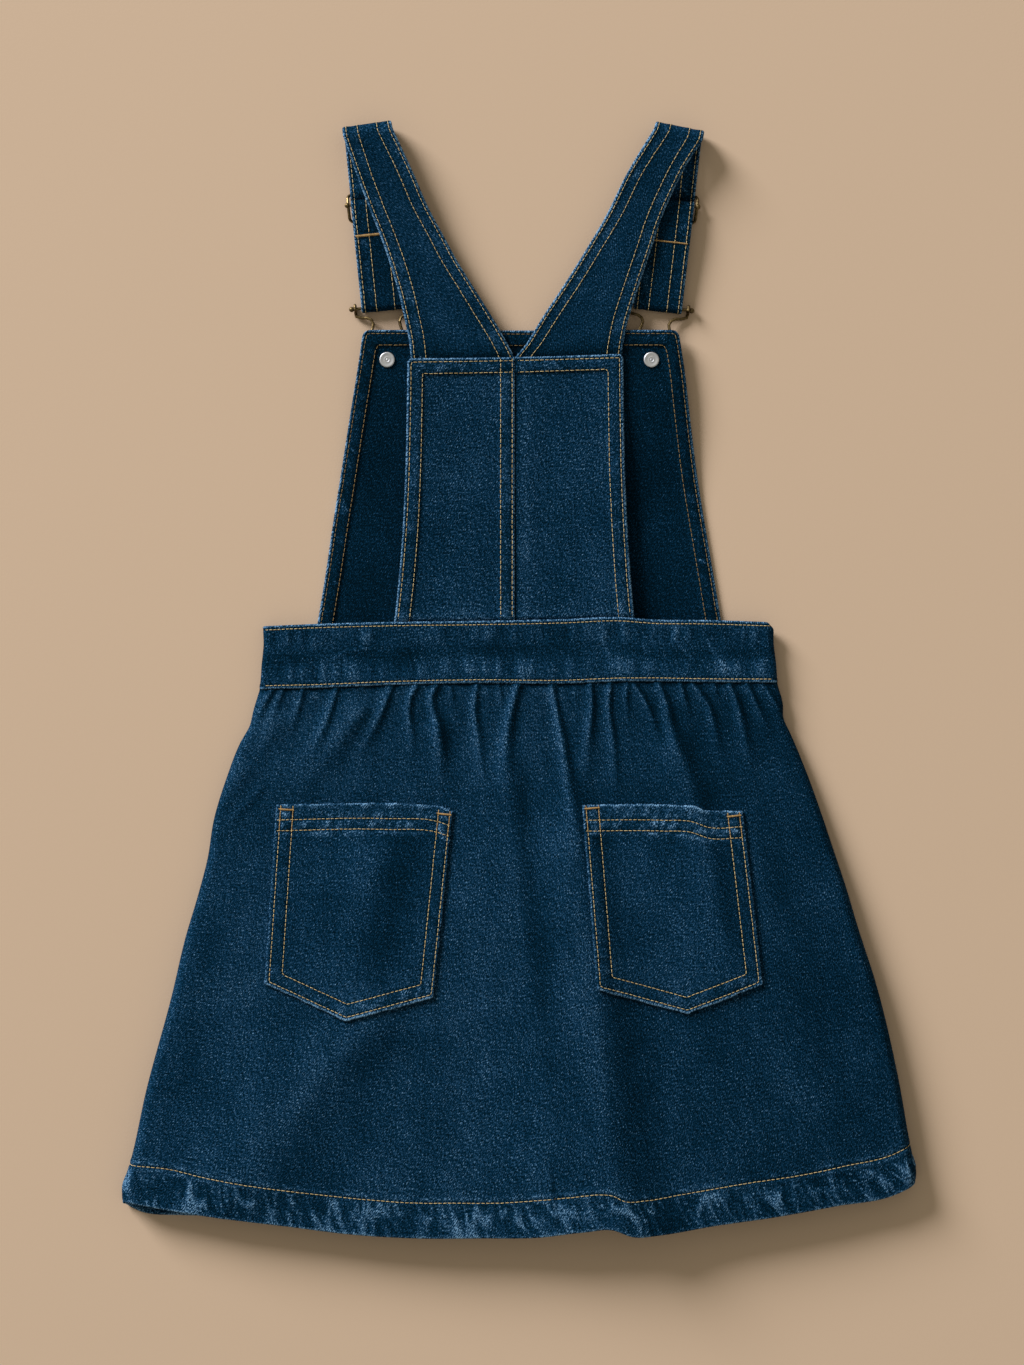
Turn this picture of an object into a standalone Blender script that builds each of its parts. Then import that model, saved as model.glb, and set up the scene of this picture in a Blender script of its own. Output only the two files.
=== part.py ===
"""A child's denim pinafore dress, laid face down on a flat surface, with its back uppermost.

Frame: +X to the right of the back, +Y towards the shoulders, +Z up, origin under the middle of the dress.
Sizes are in millimetres and are turned into metres by MM where the points are placed.
Each cut piece of cloth is an open surface with a Solidify wall. Metal pieces are turned, or bent from wire.
"""

import math

import bmesh
import bpy
import numpy as np
from mathutils import Vector

MM = 0.001

# ---------------------------------------------------------------- driving sizes, in mm
GAP = 0.3  # between two pieces
DENIM = 1.2  # one layer of cloth
HEMMED = 2.2  # the same cloth turned in on itself at an edge
STRAP_CLOTH = 1.6  # a strap is two thin layers
POCKET_CLOTH = 1.6

SEAM_Z = 4.6  # height of the side seam, half way up the side fold
SEAM_RISE = 0.6  # upright run of cloth on each side of the seam
FRONT_ROLL = 4.0  # radius of the side fold, seen from above
BACK_ROLL = 5.0
ROLL_ANGLES = (0.0, 32.0, 62.0, 90.0)

SKIRT_LENGTH = 305.0
SKIRT_LEFT_Y = (-5.8, -303.5)  # top and bottom of the left side
SKIRT_RIGHT_Y = (-1.9, -294.0)
SKIRT_HEM = 21.0
WAIST_Z = 7.9  # height of the back panel at the waist seam
SIDE_Z = 11.4  # and along its sides, lower down
CROWN = 2.4  # the middle lies this much higher than the sides
LEAN_REACH = 60.0  # gathers run straight down below this

WAISTBAND_Z = 9.3
WAIST_HALF = 150.0

BIB_BORDER = 10.0  # turned-in edge of both bibs
FRONT_BIB_BOTTOM = 31.3
FRONT_BIB_TOP = 202.6
FRONT_BIB_LIFT = 5.8  # the buttons hold the top of the front bib this high
FRONT_BIB_CORNER = 4.0
BACK_BIB_CORNER = 3.0
CENTRE_SEAM = -2.0
BUTTON_Y = 185.3
BUTTON_X = (-76.0, 76.9)
BUTTON_RADIUS = 8.5
SHANK_RADIUS = 3.2
TACK_RADIUS = 4.5

STRAP_WIDTH = 28.2
FOLD_TOP_Z = 9.3  # middle of the upper layer where the strap turns over
FOLD_LOW_Z = 0.8  # middle of the lower layer, which rests on the surface
WIRE = 0.9  # radius of the buckles' wire and bars
KNOB = 1.6
STRAP_BEND = WIRE + GAP + 0.05 + STRAP_CLOTH / 2  # middle of the cloth around a bar
HOOK_BAR_Z = 3.1
HOOK_BAR_HALF = 19.8
HOOK_EYE_ASIDE = 17.7
HOOK_SLOT_Z = 4.2
SLIDER_BAR_Z = 4.75
SLIDER_HALF = 15.8
SLIDER_ENDS = (-6.3, 9.3)  # its upper and lower wire, along the strap from its bar
SLIDER_CORNER = 2.2
SLIDER_UP = 60.0  # from the hook's bar up to the slider's bar
TAB = 20.0  # the sewn end that comes back under the slider

# The skirt's sides. down: 0 at the waist, 1 at the hem
SKIRT_SIDES = (
    # down, left x, right x
    (0.00, -150.0, 149.8),
    (0.04, -153.6, 153.1),
    (0.07, -155.8, 153.6),
    (0.10, -160.8, 157.6),
    (0.17, -169.0, 166.1),
    (0.25, -176.3, 174.6),
    (0.33, -180.2, 182.4),
    (0.40, -185.6, 189.2),
    (0.48, -192.6, 196.1),
    (0.60, -201.0, 207.2),
    (0.78, -215.3, 219.5),
    (0.93, -225.2, 227.3),
    (0.98, -229.7, 230.4),
    (1.00, -229.5, 229.4),
)

# The lower edge of the back panel: a shallow arc, with one step where a fold crosses it
BACK_HEM = (
    # x, y
    (-229.5, -303.5),
    (-213.2, -306.6),
    (-172.8, -312.8),
    (-134.0, -317.4),
    (-95.1, -322.1),
    (-56.3, -324.1),
    (-22.3, -323.9),
    (11.7, -323.1),
    (37.2, -319.6),
    (54.0, -318.2),
    (66.0, -322.2),
    (79.8, -321.8),
    (113.8, -316.7),
    (147.8, -312.0),
    (181.8, -306.0),
    (215.9, -300.0),
    (229.4, -294.0),
)

# The front panel's lower edge shows below the back's only at the left corner
FRONT_HEM = (
    # x, y
    (-229.5, -303.5),
    (-220.0, -308.2),
    (-196.0, -310.6),
    (-172.0, -311.0),
    (-100.0, -317.5),
    (0.0, -319.5),
    (110.0, -313.0),
    (229.4, -294.0),
)

WAISTBAND_EDGES = (
    # x, lower y, upper y
    (-150.0, -5.5, 31.0),
    (-118.0, -4.8, 32.4),
    (-73.0, -3.0, 33.6),
    (-23.0, -2.0, 34.2),
    (25.0, -2.3, 35.2),
    (62.0, -0.9, 36.3),
    (74.0, -0.9, 35.2),
    (108.0, -1.4, 34.7),
    (149.8, -1.6, 33.4),
)
# Its ends draw in a little above the skirt
WAISTBAND_ENDS = (
    # down, drawn in
    (0.0, 1.8),
    (0.35, 2.1),
    (0.65, 1.0),
    (1.0, 0.0),
)

# Large soft folds of the back panel. Each ridge runs down through the listed places across the width
FOLD_ROWS = (0.03, 0.21, 0.40, 0.58, 0.76, 1.00)  # down
FOLDS = (
    # places across at those rows, height, its left and right spread across, down where it starts, and is full
    ((0.09, 0.070, 0.045, 0.040, 0.035, 0.03), 1.6, 0.05, 0.06, 0.05, 0.3),
    ((0.30, 0.283, 0.262, 0.255, 0.203, 0.130), 3.6, 0.08, 0.050, 0.00, 0.5),
    ((0.465, 0.477, 0.474, 0.481, 0.494, 0.505), 2.6, 0.07, 0.035, 0.00, 0.35),
    ((0.551, 0.581, 0.587, 0.600, 0.608, 0.618), 4.8, 0.09, 0.036, 0.00, 0.9),
    ((0.735, 0.752, 0.768, 0.790, 0.825, 0.860), 3.0, 0.08, 0.050, 0.00, 0.45),
    ((0.900, 0.890, 0.900, 0.910, 0.920, 0.930), 1.5, 0.04, 0.05, 0.05, 0.4),
)

# Gathers along the waist seam
GATHERS = (
    # across, drift across on the way down, height, length
    (0.019, -0.004, 1.0, 30),
    (0.045, -0.009, 0.8, 22),
    (0.081, -0.014, 1.2, 40),
    (0.112, -0.014, 0.7, 18),
    (0.145, -0.012, 1.3, 46),
    (0.200, -0.020, 0.7, 24),
    (0.253, -0.020, 1.6, 62),
    (0.303, -0.012, 1.5, 56),
    (0.336, -0.004, 1.4, 52),
    (0.371, -0.002, 1.0, 30),
    (0.421, 0.006, 1.5, 62),
    (0.466, -0.008, 1.6, 60),
    (0.500, -0.010, 1.5, 58),
    (0.530, 0.000, 0.8, 24),
    (0.566, 0.018, 1.6, 62),
    (0.603, 0.012, 0.9, 28),
    (0.641, 0.004, 1.5, 54),
    (0.678, -0.002, 1.4, 46),
    (0.711, 0.012, 1.2, 36),
    (0.734, 0.022, 1.4, 54),
    (0.777, 0.026, 1.5, 58),
    (0.817, 0.022, 1.2, 36),
    (0.845, 0.024, 1.4, 48),
    (0.881, 0.022, 1.2, 42),
    (0.918, 0.016, 1.3, 46),
    (0.948, 0.010, 1.0, 28),
    (0.980, 0.004, 0.8, 22),
)

FRONT_BIB_SIDES = (
    # y, left x, right x
    (31.0, -117.0, 118.2),
    (60.0, -112.2, 113.4),
    (90.0, -107.8, 108.3),
    (120.0, -103.0, 103.5),
    (150.0, -98.2, 99.7),
    (180.0, -93.3, 96.2),
    (203.0, -89.8, 92.6),
)
BACK_BIB_SIDES = (
    # y, left x, right x, height of the underside at the sides, and at the centre seam
    (31.0, -72.3, 67.3, 6.9, 6.9),
    (57.0, -69.5, 65.0, 6.7, 6.2),
    (88.0, -67.0, 63.0, 6.5, 5.9),
    (120.0, -65.5, 61.6, 6.7, 5.9),
    (157.0, -64.6, 60.9, 7.4, 6.1),
    (190.0, -64.2, 60.5, 8.2, 6.8),
)
BACK_BIB_TOP = (
    # x, y
    (-65.0, 185.8),
    (-2.0, 186.8),
    (61.0, 188.4),
)

# The middle of each strap's cloth, from the bib up to the fold
LEFT_STRAP = (
    # left x, y, z, right x, y, z
    (-62.3, 186.3, 9.2, -2.4, 187.1, 7.9),
    (-63.5, 197.0, 9.3, -8.7, 198.9, 8.3),
    (-66.0, 209.1, 9.4, -17.1, 212.9, 8.9),
    (-69.7, 225.0, 9.6, -26.2, 227.4, 9.4),
    (-74.5, 240.9, 9.9, -35.7, 242.7, 9.8),
    (-80.0, 256.8, 10.1, -43.4, 256.9, 10.1),
    (-86.8, 273.8, 10.1, -52.5, 273.8, 10.2),
    (-94.1, 293.4, 9.8, -60.8, 292.9, 9.9),
    (-101.2, 313.6, 9.3, -72.6, 318.4, 9.3),
)
RIGHT_STRAP = (
    (-1.6, 187.1, 7.9, 59.9, 188.7, 9.2),
    (4.6, 194.6, 8.3, 61.0, 197.0, 9.3),
    (14.3, 210.4, 8.9, 64.1, 210.5, 9.4),
    (26.5, 228.7, 9.4, 69.9, 228.5, 9.6),
    (38.7, 248.2, 9.9, 76.9, 249.4, 10.0),
    (50.9, 268.9, 10.2, 83.5, 268.9, 10.1),
    (63.1, 293.4, 9.9, 94.8, 293.4, 9.8),
    (78.2, 318.2, 9.3, 106.2, 311.2, 9.3),
)
# The middle of each hook's bar
HOOK_BARS = (
    # x, y
    (-77.0, 216.8),
    (80.8, 216.4),
)
# The lower layer goes over the slider's outer wires and under its bar
THREAD = (
    # along the strap from the slider's bar, z
    (-15.0, 0.8),
    (-11.0, 1.6),
    (-8.2, 3.0),
    (-6.3, 3.3),
    (-4.5, 2.8),
    (-2.4, 1.1),
    (0.0, 0.8),
    (3.0, 0.9),
    (5.6, 1.9),
    (7.5, 3.0),
    (9.3, 3.3),
    (11.2, 3.0),
    (14.0, 1.7),
    (18.0, 0.9),
)
# The sewn end and the layer above it, below the slider's bar
TAB_PATH = (
    # along, z of the sewn end, z of the layer above it
    (4.0, 3.2, 7.0),
    (8.0, 5.1, 7.2),
    (11.0, 5.25, 7.2),
    (TAB, 4.9, 6.85),
)

# Half of each hook's wire, from the bar to the slot round the button
HOOK_NECK = (
    # aside, along from the bar, z
    (17.7, 2.6, 1.15),
    (17.4, 4.2, 1.6),
    (14.4, 5.4, 2.4),
    (11.0, 5.9, 3.2),
    (8.6, 7.4, 3.8),
    (7.6, 9.8, 4.2),
    (8.2, 12.4, 4.2),
    (9.1, 15.0, 4.2),
    (9.3, 18.5, 4.2),
    (8.4, 22.0, 4.2),
    (6.4, 25.5, 4.2),
    (5.0, 29.0, 4.2),
)

POCKETS = (
    # name, then its corners: along the top from the left, lower right, tip, lower left
    ("pocket_left", (-141.1, -72.5), (-78.6, -71.2), (-46.7, -73.0), (-38.2, -76.0),
     (-49.2, -184.3), (-100.1, -197.8), (-147.6, -176.3)),
    ("pocket_right", (37.1, -72.5), (83.8, -72.2), (102.0, -73.2), (109.0, -76.0), (130.5, -76.0),
     (141.9, -176.8), (98.0, -193.8), (45.5, -179.3)),
)  # fmt: skip

MATERIALS = (
    # name, colour, roughness, metallic
    ("skirt_denim", (0.011, 0.030, 0.085), 0.9, 0.0),
    ("pocket_denim", (0.012, 0.033, 0.090), 0.9, 0.0),
    ("waistband_denim", (0.013, 0.035, 0.095), 0.9, 0.0),
    ("front_bib_denim", (0.007, 0.020, 0.055), 0.9, 0.0),
    ("back_bib_denim", (0.011, 0.031, 0.080), 0.9, 0.0),
    ("strap_denim", (0.012, 0.032, 0.080), 0.9, 0.0),
    ("antique_brass", (0.30, 0.20, 0.09), 0.4, 1.0),
    ("button_brass", (0.32, 0.22, 0.11), 0.45, 1.0),
    ("tack_nickel", (0.72, 0.70, 0.68), 0.3, 1.0),
)


# ---------------------------------------------------------------- curves through the tables
def smooth(places, values):
    """A cubic through the points, with slopes from the neighbours."""
    places = np.asarray(places, float)
    values = np.asarray(values, float)
    slopes = np.gradient(values, places)

    def at(x):
        x = min(max(x, places[0]), places[-1])
        i = min(int(np.searchsorted(places, x, side="right")) - 1, len(places) - 2)
        step = places[i + 1] - places[i]
        t = (x - places[i]) / step
        start = values[i] * (1 + 2 * t) * (1 - t) ** 2 + slopes[i] * step * t * (1 - t) ** 2
        end = values[i + 1] * t * t * (3 - 2 * t) + slopes[i + 1] * step * t * t * (t - 1)
        return float(start + end)

    return at


def column_of(table, x_column, y_column):
    return smooth([row[x_column] for row in table], [row[y_column] for row in table])


def ease(t):
    """0 below 0, 1 above 1, and a smooth step between."""
    t = min(max(t, 0.0), 1.0)
    return t * t * (3 - 2 * t)


def mix(a, b, t):
    return a + (b - a) * t


# ---------------------------------------------------------------- objects
def make_materials():
    made = {}
    for name, colour, roughness, metallic in MATERIALS:
        material = bpy.data.materials.new(name)
        material.use_nodes = True
        shader = material.node_tree.nodes["Principled BSDF"]
        shader.inputs["Base Color"].default_value = (*colour, 1)
        shader.inputs["Roughness"].default_value = roughness
        shader.inputs["Metallic"].default_value = metallic
        made[name] = material
    return made


def add_object(name, data, collection, material=None):
    made = bpy.data.objects.new(name, data)
    collection.objects.link(made)
    if material is not None:
        data.materials.append(material)
    return made


def cloth(name, columns, rows, place, thickness, collection, material, turned_in=None):
    """A grid of cloth with one point for each (column, row), placed in mm by place(column, row), with its wall.

    A positive thickness goes up from the points and a negative one down. Where turned_in(column, row) is true,
    the wall is HEMMED thick.
    """
    bm = bmesh.new()
    bmesh.ops.create_grid(bm, x_segments=columns - 1, y_segments=rows - 1, size=0.5)
    hem = []
    for vertex in bm.verts:
        column = round((vertex.co.x + 0.5) * (columns - 1))
        row = round((0.5 - vertex.co.y) * (rows - 1))
        if turned_in is not None and turned_in(column, row):
            hem.append(vertex.index)
        vertex.co = Vector(place(column, row)) * MM
    mesh = bpy.data.meshes.new(name)
    bm.to_mesh(mesh)
    bm.free()
    mesh.shade_smooth()
    made = add_object(name, mesh, collection, material)
    wall = made.modifiers.new("wall", "SOLIDIFY")
    wall.use_even_offset = True
    wall.offset = math.copysign(1, thickness)
    wall.thickness = abs(thickness) * MM
    if hem:
        group = made.vertex_groups.new(name="turned_in")
        group.add(hem, 1.0, "REPLACE")
        wall.thickness = HEMMED * MM
        wall.vertex_group = group.name
        wall.thickness_vertex_group = abs(thickness) / HEMMED
    return made


def wire(name, points, collection, closed=False):
    """A bent wire through the points, in mm, as a mesh."""
    curve = bpy.data.curves.new(name, "CURVE")
    curve.dimensions = "3D"
    curve.bevel_depth = WIRE * MM
    curve.bevel_resolution = 2
    curve.use_fill_caps = not closed
    spline = curve.splines.new("POLY")
    spline.points.add(len(points) - 1)
    for point, place in zip(spline.points, points):
        point.co = (*(Vector(place) * MM), 1)
    spline.use_cyclic_u = closed
    return as_mesh(add_object(name, curve, collection))


def as_mesh(made_from):
    """The curve's solid as a mesh object in its place, with its caps welded."""
    graph = bpy.context.evaluated_depsgraph_get()
    mesh = bpy.data.meshes.new_from_object(made_from.evaluated_get(graph))
    bm = bmesh.new()
    bm.from_mesh(mesh)
    bmesh.ops.remove_doubles(bm, verts=bm.verts, dist=0.00001)
    bmesh.ops.recalc_face_normals(bm, faces=bm.faces)
    bm.to_mesh(mesh)
    bm.free()
    name, collection = made_from.name, made_from.users_collection[0]
    bpy.data.objects.remove(made_from)
    return add_object(name, mesh, collection)


def boolean(target, other, operation):
    modifier = target.modifiers.new(operation.lower(), "BOOLEAN")
    modifier.operation = operation
    modifier.object = other
    other.hide_render = True
    other.display_type = "WIRE"


# ---------------------------------------------------------------- the skirt and the waistband, two flattened tubes
def tube_columns(places):
    """A panel that turns up at both sides: each column as (side, angle of its roll, place across the width)."""
    left = [(-1, None, 0.0)] + [(-1, math.radians(a), 0.0) for a in ROLL_ANGLES]
    right = [(1, math.radians(a), 1.0) for a in reversed(ROLL_ANGLES)] + [(1, None, 1.0)]
    return left + [(0, math.pi / 2, place) for place in places] + right


def across_of(column, width, radius):
    """Where a column lies across the row's width: 0 at the left edge and 1 at the right."""
    side, angle, place = column
    turn = radius / width
    if side == 0:
        return mix(turn, 1 - turn, place)
    inset = turn * (1 - math.cos(angle or 0.0))
    return inset if side < 0 else 1 - inset


def rolled_down(column, height):
    """Height of the back's outside in a column, where height is that of the panel beside the roll."""
    angle = column[1]
    foot = SEAM_Z + GAP
    if angle is None:
        return foot
    return foot + SEAM_RISE + (height - foot - SEAM_RISE) * math.sin(angle)


def rolled_up(column):
    """Height of the front's outside in a column: flat on the surface, and turned up at the sides."""
    angle = column[1]
    if angle is None:
        return SEAM_Z
    return (SEAM_Z - SEAM_RISE) * (1 - math.sin(angle))


LEFT_OF = column_of(SKIRT_SIDES, 0, 1)
RIGHT_OF = column_of(SKIRT_SIDES, 0, 2)
WAIST_Y = column_of(WAISTBAND_EDGES, 0, 1)
WAISTBAND_TOP_Y = column_of(WAISTBAND_EDGES, 0, 2)
LEAN = column_of([(0.0, 0.0)] + [g[:2] for g in GATHERS] + [(1.0, 0.0)], 0, 1)
FOLD_PATHS = [smooth(FOLD_ROWS, fold[0]) for fold in FOLDS]


def skirt_place(hem_y, across, down):
    """Where a point of a skirt panel lies seen from above, filled in between the panel's four edges."""
    left = Vector((LEFT_OF(down), mix(*SKIRT_LEFT_Y, down)))
    right = Vector((RIGHT_OF(down), mix(*SKIRT_RIGHT_Y, down)))
    waist_left, waist_right = Vector((LEFT_OF(0), SKIRT_LEFT_Y[0])), Vector((RIGHT_OF(0), SKIRT_RIGHT_Y[0]))
    hem_left, hem_right = Vector((LEFT_OF(1), SKIRT_LEFT_Y[1])), Vector((RIGHT_OF(1), SKIRT_RIGHT_Y[1]))
    waist = waist_left.lerp(waist_right, across)
    hem = hem_left.lerp(hem_right, across)
    bend_waist = WAIST_Y(waist.x) - GAP - 0.1 - waist.y
    bend_hem = hem_y(hem.x) - hem.y
    place = left.lerp(right, across)
    return place.x, place.y + mix(bend_waist, bend_hem, down)


def drifted(across, down):
    """The gathers and the columns between them lean outwards on their way down."""
    return across + LEAN(across) * ease(down * SKIRT_LENGTH / LEAN_REACH)


def gather_height(across, down):
    """across is the place at the waist seam."""
    height = 0.0
    for place, _, rise, length in GATHERS:
        reach = down * SKIRT_LENGTH / length
        spread = 0.0085 + 0.012 * reach
        height += rise * math.exp(-1.4 * reach * reach) * math.exp(-(((across - place) / spread) ** 2))
    return height


def fold_height(across, down):
    height = 0.0
    for path, (_, rise, left_spread, right_spread, starts, full) in zip(FOLD_PATHS, FOLDS):
        away = across - path(down)
        spread = left_spread if away < 0 else right_spread
        height += rise * ease((down - starts) / (full - starts)) * math.exp(-((away / spread) ** 2))
    return height


def skirt_height(across_at_waist, across, down):
    """Height of the back panel's outside, before its sides roll down."""
    height = mix(WAIST_Z, SIDE_Z, ease(down * 1.6))
    height += CROWN * ease(down * 2.2) * (1 - (2 * across - 1) ** 2)
    return height + fold_height(across, down) + gather_height(across_at_waist, down)


def gather_columns():
    """A column on each ridge and in each valley, and one more where they are far apart."""
    ridges = [g[0] for g in GATHERS]
    valleys = [(a + b) / 2 for a, b in zip(ridges, ridges[1:])]
    found = sorted(ridges + valleys)
    between = [(a + b) / 2 for a, b in zip(found, found[1:]) if b - a > 0.0165]
    return sorted(found + between)


HEM_START = 1 - SKIRT_HEM / SKIRT_LENGTH
HEM_ROWS = (HEM_START - 0.004, HEM_START, 1.0)
BACK_ROWS = (0.0, 0.02, 0.05, 0.09, 0.14, 0.20, 0.28, 0.38, 0.49, 0.60, 0.71, 0.82) + HEM_ROWS
FRONT_ROWS = (0.0, 0.07, 0.15, 0.25, 0.33, 0.46, 0.62, 0.80) + HEM_ROWS


def skirt_back(collection, material):
    hem_y = column_of(BACK_HEM, 0, 1)
    columns = tube_columns(gather_columns())

    def place(c, r):
        down = BACK_ROWS[r]
        width = RIGHT_OF(down) - LEFT_OF(down)
        at_waist = across_of(columns[c], width, BACK_ROLL)
        across = drifted(at_waist, down) if columns[c][0] == 0 else at_waist
        x, y = skirt_place(hem_y, across, down)
        return x, y, rolled_down(columns[c], skirt_height(at_waist, across, down))

    def in_hem(_, r):
        return r >= len(BACK_ROWS) - 2

    return cloth("skirt_back", len(columns), len(BACK_ROWS), place, -DENIM, collection, material, in_hem)


def skirt_front(collection, material):
    hem_y = column_of(FRONT_HEM, 0, 1)
    columns = tube_columns([i / 14 for i in range(1, 14)])

    def place(c, r):
        down = FRONT_ROWS[r]
        across = across_of(columns[c], RIGHT_OF(down) - LEFT_OF(down), FRONT_ROLL)
        x, y = skirt_place(hem_y, across, down)
        return x, y, rolled_up(columns[c])

    def in_hem(_, r):
        return r >= len(FRONT_ROWS) - 2

    return cloth("skirt_front", len(columns), len(FRONT_ROWS), place, DENIM, collection, material, in_hem)


BAND_ROWS = (0.0, 0.14, 0.5, 0.86, 1.0)


def waistband(name, is_back, collection, material):
    """One half of the waistband. The back's is uppermost, and the front's rests on the surface."""
    drawn_in = column_of(WAISTBAND_ENDS, 0, 1)
    count = 26 if is_back else 12
    columns = tube_columns([i / count for i in range(1, count)])

    def place(c, r):
        down = BAND_ROWS[r]
        half = WAIST_HALF - drawn_in(down)
        x = mix(-half, half, across_of(columns[c], 2 * half, FRONT_ROLL))
        top = WAISTBAND_TOP_Y(x) if is_back else FRONT_BIB_BOTTOM - GAP
        y = mix(top, WAIST_Y(x) + 0.1, down)
        trough = 0.6 * math.sin(math.pi * down) ** 2
        z = rolled_down(columns[c], WAISTBAND_Z - trough) if is_back else rolled_up(columns[c])
        return x, y, z

    thickness = -HEMMED if is_back else HEMMED
    return cloth(name, len(columns), len(BAND_ROWS), place, thickness, collection, material)


# ---------------------------------------------------------------- pockets
def pocket(name, corners, skirt, collection, helpers, material):
    """The skirt's outer faces moved out, cut to the pocket's outline. Its facets match the skirt's below."""
    slab = add_object(name, skirt.data.copy(), collection)
    slab.data.materials.clear()
    slab.data.materials.append(material)
    bm = bmesh.new()
    bm.from_mesh(slab.data)
    middle = sum((Vector(c) for c in corners), Vector((0, 0))) / len(corners)
    reach = Vector((max(abs(c[0] - middle.x) for c in corners) + 12, max(abs(c[1] - middle.y) for c in corners) + 34))

    def is_far(face):
        away = face.calc_center_median() / MM
        return abs(away.x - middle.x) > reach.x or abs(away.y - middle.y) > reach.y

    bmesh.ops.delete(bm, geom=[f for f in bm.faces if is_far(f)], context="FACES")
    for vertex in bm.verts:
        vertex.co.z += (GAP + 0.1) * MM
    top = bmesh.ops.extrude_face_region(bm, geom=bm.faces[:])["geom"]
    raised = [v for v in top if isinstance(v, bmesh.types.BMVert)]
    bmesh.ops.translate(bm, verts=raised, vec=(0, 0, POCKET_CLOTH * MM))
    bmesh.ops.recalc_face_normals(bm, faces=bm.faces)
    bm.to_mesh(slab.data)
    bm.free()

    outline = bpy.data.curves.new(name + "_outline", "CURVE")
    outline.dimensions = "2D"
    outline.fill_mode = "BOTH"
    outline.extrude = 0.04
    spline = outline.splines.new("POLY")
    spline.points.add(len(corners) - 1)
    for point, corner in zip(spline.points, corners):
        point.co = (corner[0] * MM, corner[1] * MM, 0, 1)
    spline.use_cyclic_u = True
    boolean(slab, as_mesh(add_object(name + "_outline", outline, helpers)), "INTERSECT")
    return slab


# ---------------------------------------------------------------- bibs
def bib_rows(bottom, top, radius, count):
    """Rows from the rounded top corners down."""
    corner = [top - radius + radius * math.sin(math.radians(a)) for a in (90, 60, 30, 0)]
    border = [top - BIB_BORDER + 0.8, top - BIB_BORDER]
    return corner + border + [mix(top - BIB_BORDER, bottom, (i + 1) / count) for i in range(count)]


def corner_inset(y, top, radius):
    """How far a rounded corner draws the side in at height y."""
    up = min(max(y - (top - radius), 0.0), radius)
    return radius - math.sqrt(radius**2 - up**2)


def front_bib_lift(x, y):
    """Underside of the front bib: on the surface below, and held up near the buttons at the top."""
    near_button = min(1.25 * math.exp(-(((abs(x) - 76.0) / 32.0) ** 2)), 1.0)
    return FRONT_BIB_LIFT * ease((y - 95.0) / 80.0) * mix(0.45, 1.0, near_button)


def front_bib(collection, material):
    left = column_of(FRONT_BIB_SIDES, 0, 1)
    right = column_of(FRONT_BIB_SIDES, 0, 2)
    rows = bib_rows(FRONT_BIB_BOTTOM, FRONT_BIB_TOP, FRONT_BIB_CORNER, 8)
    inner = 12
    columns = inner + 5

    def place(c, r):
        y = rows[r]
        inset = corner_inset(y, FRONT_BIB_TOP, FRONT_BIB_CORNER)
        low, high = left(y) + inset, right(y) - inset
        border = (0.0, BIB_BORDER - 0.8 - inset / 2, BIB_BORDER - inset / 2)
        if c < 2:
            x = low + border[c]
        elif c > columns - 3:
            x = high - border[columns - 1 - c]
        else:
            x = mix(low + border[2], high - border[2], (c - 2) / inner)
        return x, y, front_bib_lift(x, y)

    def turned_in(c, r):
        return c < 2 or c > columns - 3 or r < 5

    return cloth("bib_front", columns, len(rows), place, DENIM, collection, material, turned_in)


def back_bib(name, side, collection, material):
    """One half of the back bib. The halves meet at the centre seam."""
    edge = column_of(BACK_BIB_SIDES, 0, 1 if side < 0 else 2)
    under_side = column_of(BACK_BIB_SIDES, 0, 3)
    under_seam = column_of(BACK_BIB_SIDES, 0, 4)
    top_y = column_of(BACK_BIB_TOP, 0, 1)
    seam = CENTRE_SEAM + side * (GAP / 2 + 0.05)
    length = top_y(seam) - WAISTBAND_TOP_Y(seam) - GAP - 0.2
    rows = bib_rows(0.0, length, BACK_BIB_CORNER, 7)
    border = BIB_BORDER / 62.0
    inward = (0.0, border - 0.012, border, 0.45, 0.72, 1.0)
    columns = len(inward)

    def place(c, r):
        share = rows[r] / length
        c = c if side < 0 else columns - 1 - c
        outer = edge(mix(WAISTBAND_TOP_Y(seam), top_y(seam), share))
        outer -= side * corner_inset(rows[r], length, BACK_BIB_CORNER)
        x = mix(outer, seam, inward[c])
        y = mix(WAISTBAND_TOP_Y(x) + GAP + 0.2, top_y(x), share)
        return x, y, mix(under_side(y), under_seam(y), math.sin(inward[c] * math.pi / 2))

    def turned_in(c, r):
        c = c if side < 0 else columns - 1 - c
        return c < 2 or r < 5

    return cloth(name, columns, len(rows), place, DENIM, collection, material, turned_in)


# ---------------------------------------------------------------- straps
class StrapRun:
    """The straight lower run of a strap. along is measured down the strap from its fold, aside across it."""

    def __init__(self, upper, bar):
        left, right = Vector(upper[-1][:2]), Vector(upper[-1][3:5])
        self.fold_left, self.fold_right = left, right
        along_fold = (right - left).normalized()
        self.fold_outward = Vector((-along_fold.y, along_fold.x, 0))
        self.start = (left + right) / 2
        self.bar = Vector(bar)
        self.length = (self.bar - self.start).length
        self.slider = self.length - SLIDER_UP
        self.down = (self.bar - self.start).normalized()
        self.across = Vector((-self.down.y, self.down.x))

    def point(self, aside, along, z):
        place = self.start + self.down * along + self.across * aside
        return Vector((place.x, place.y, z))


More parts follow.
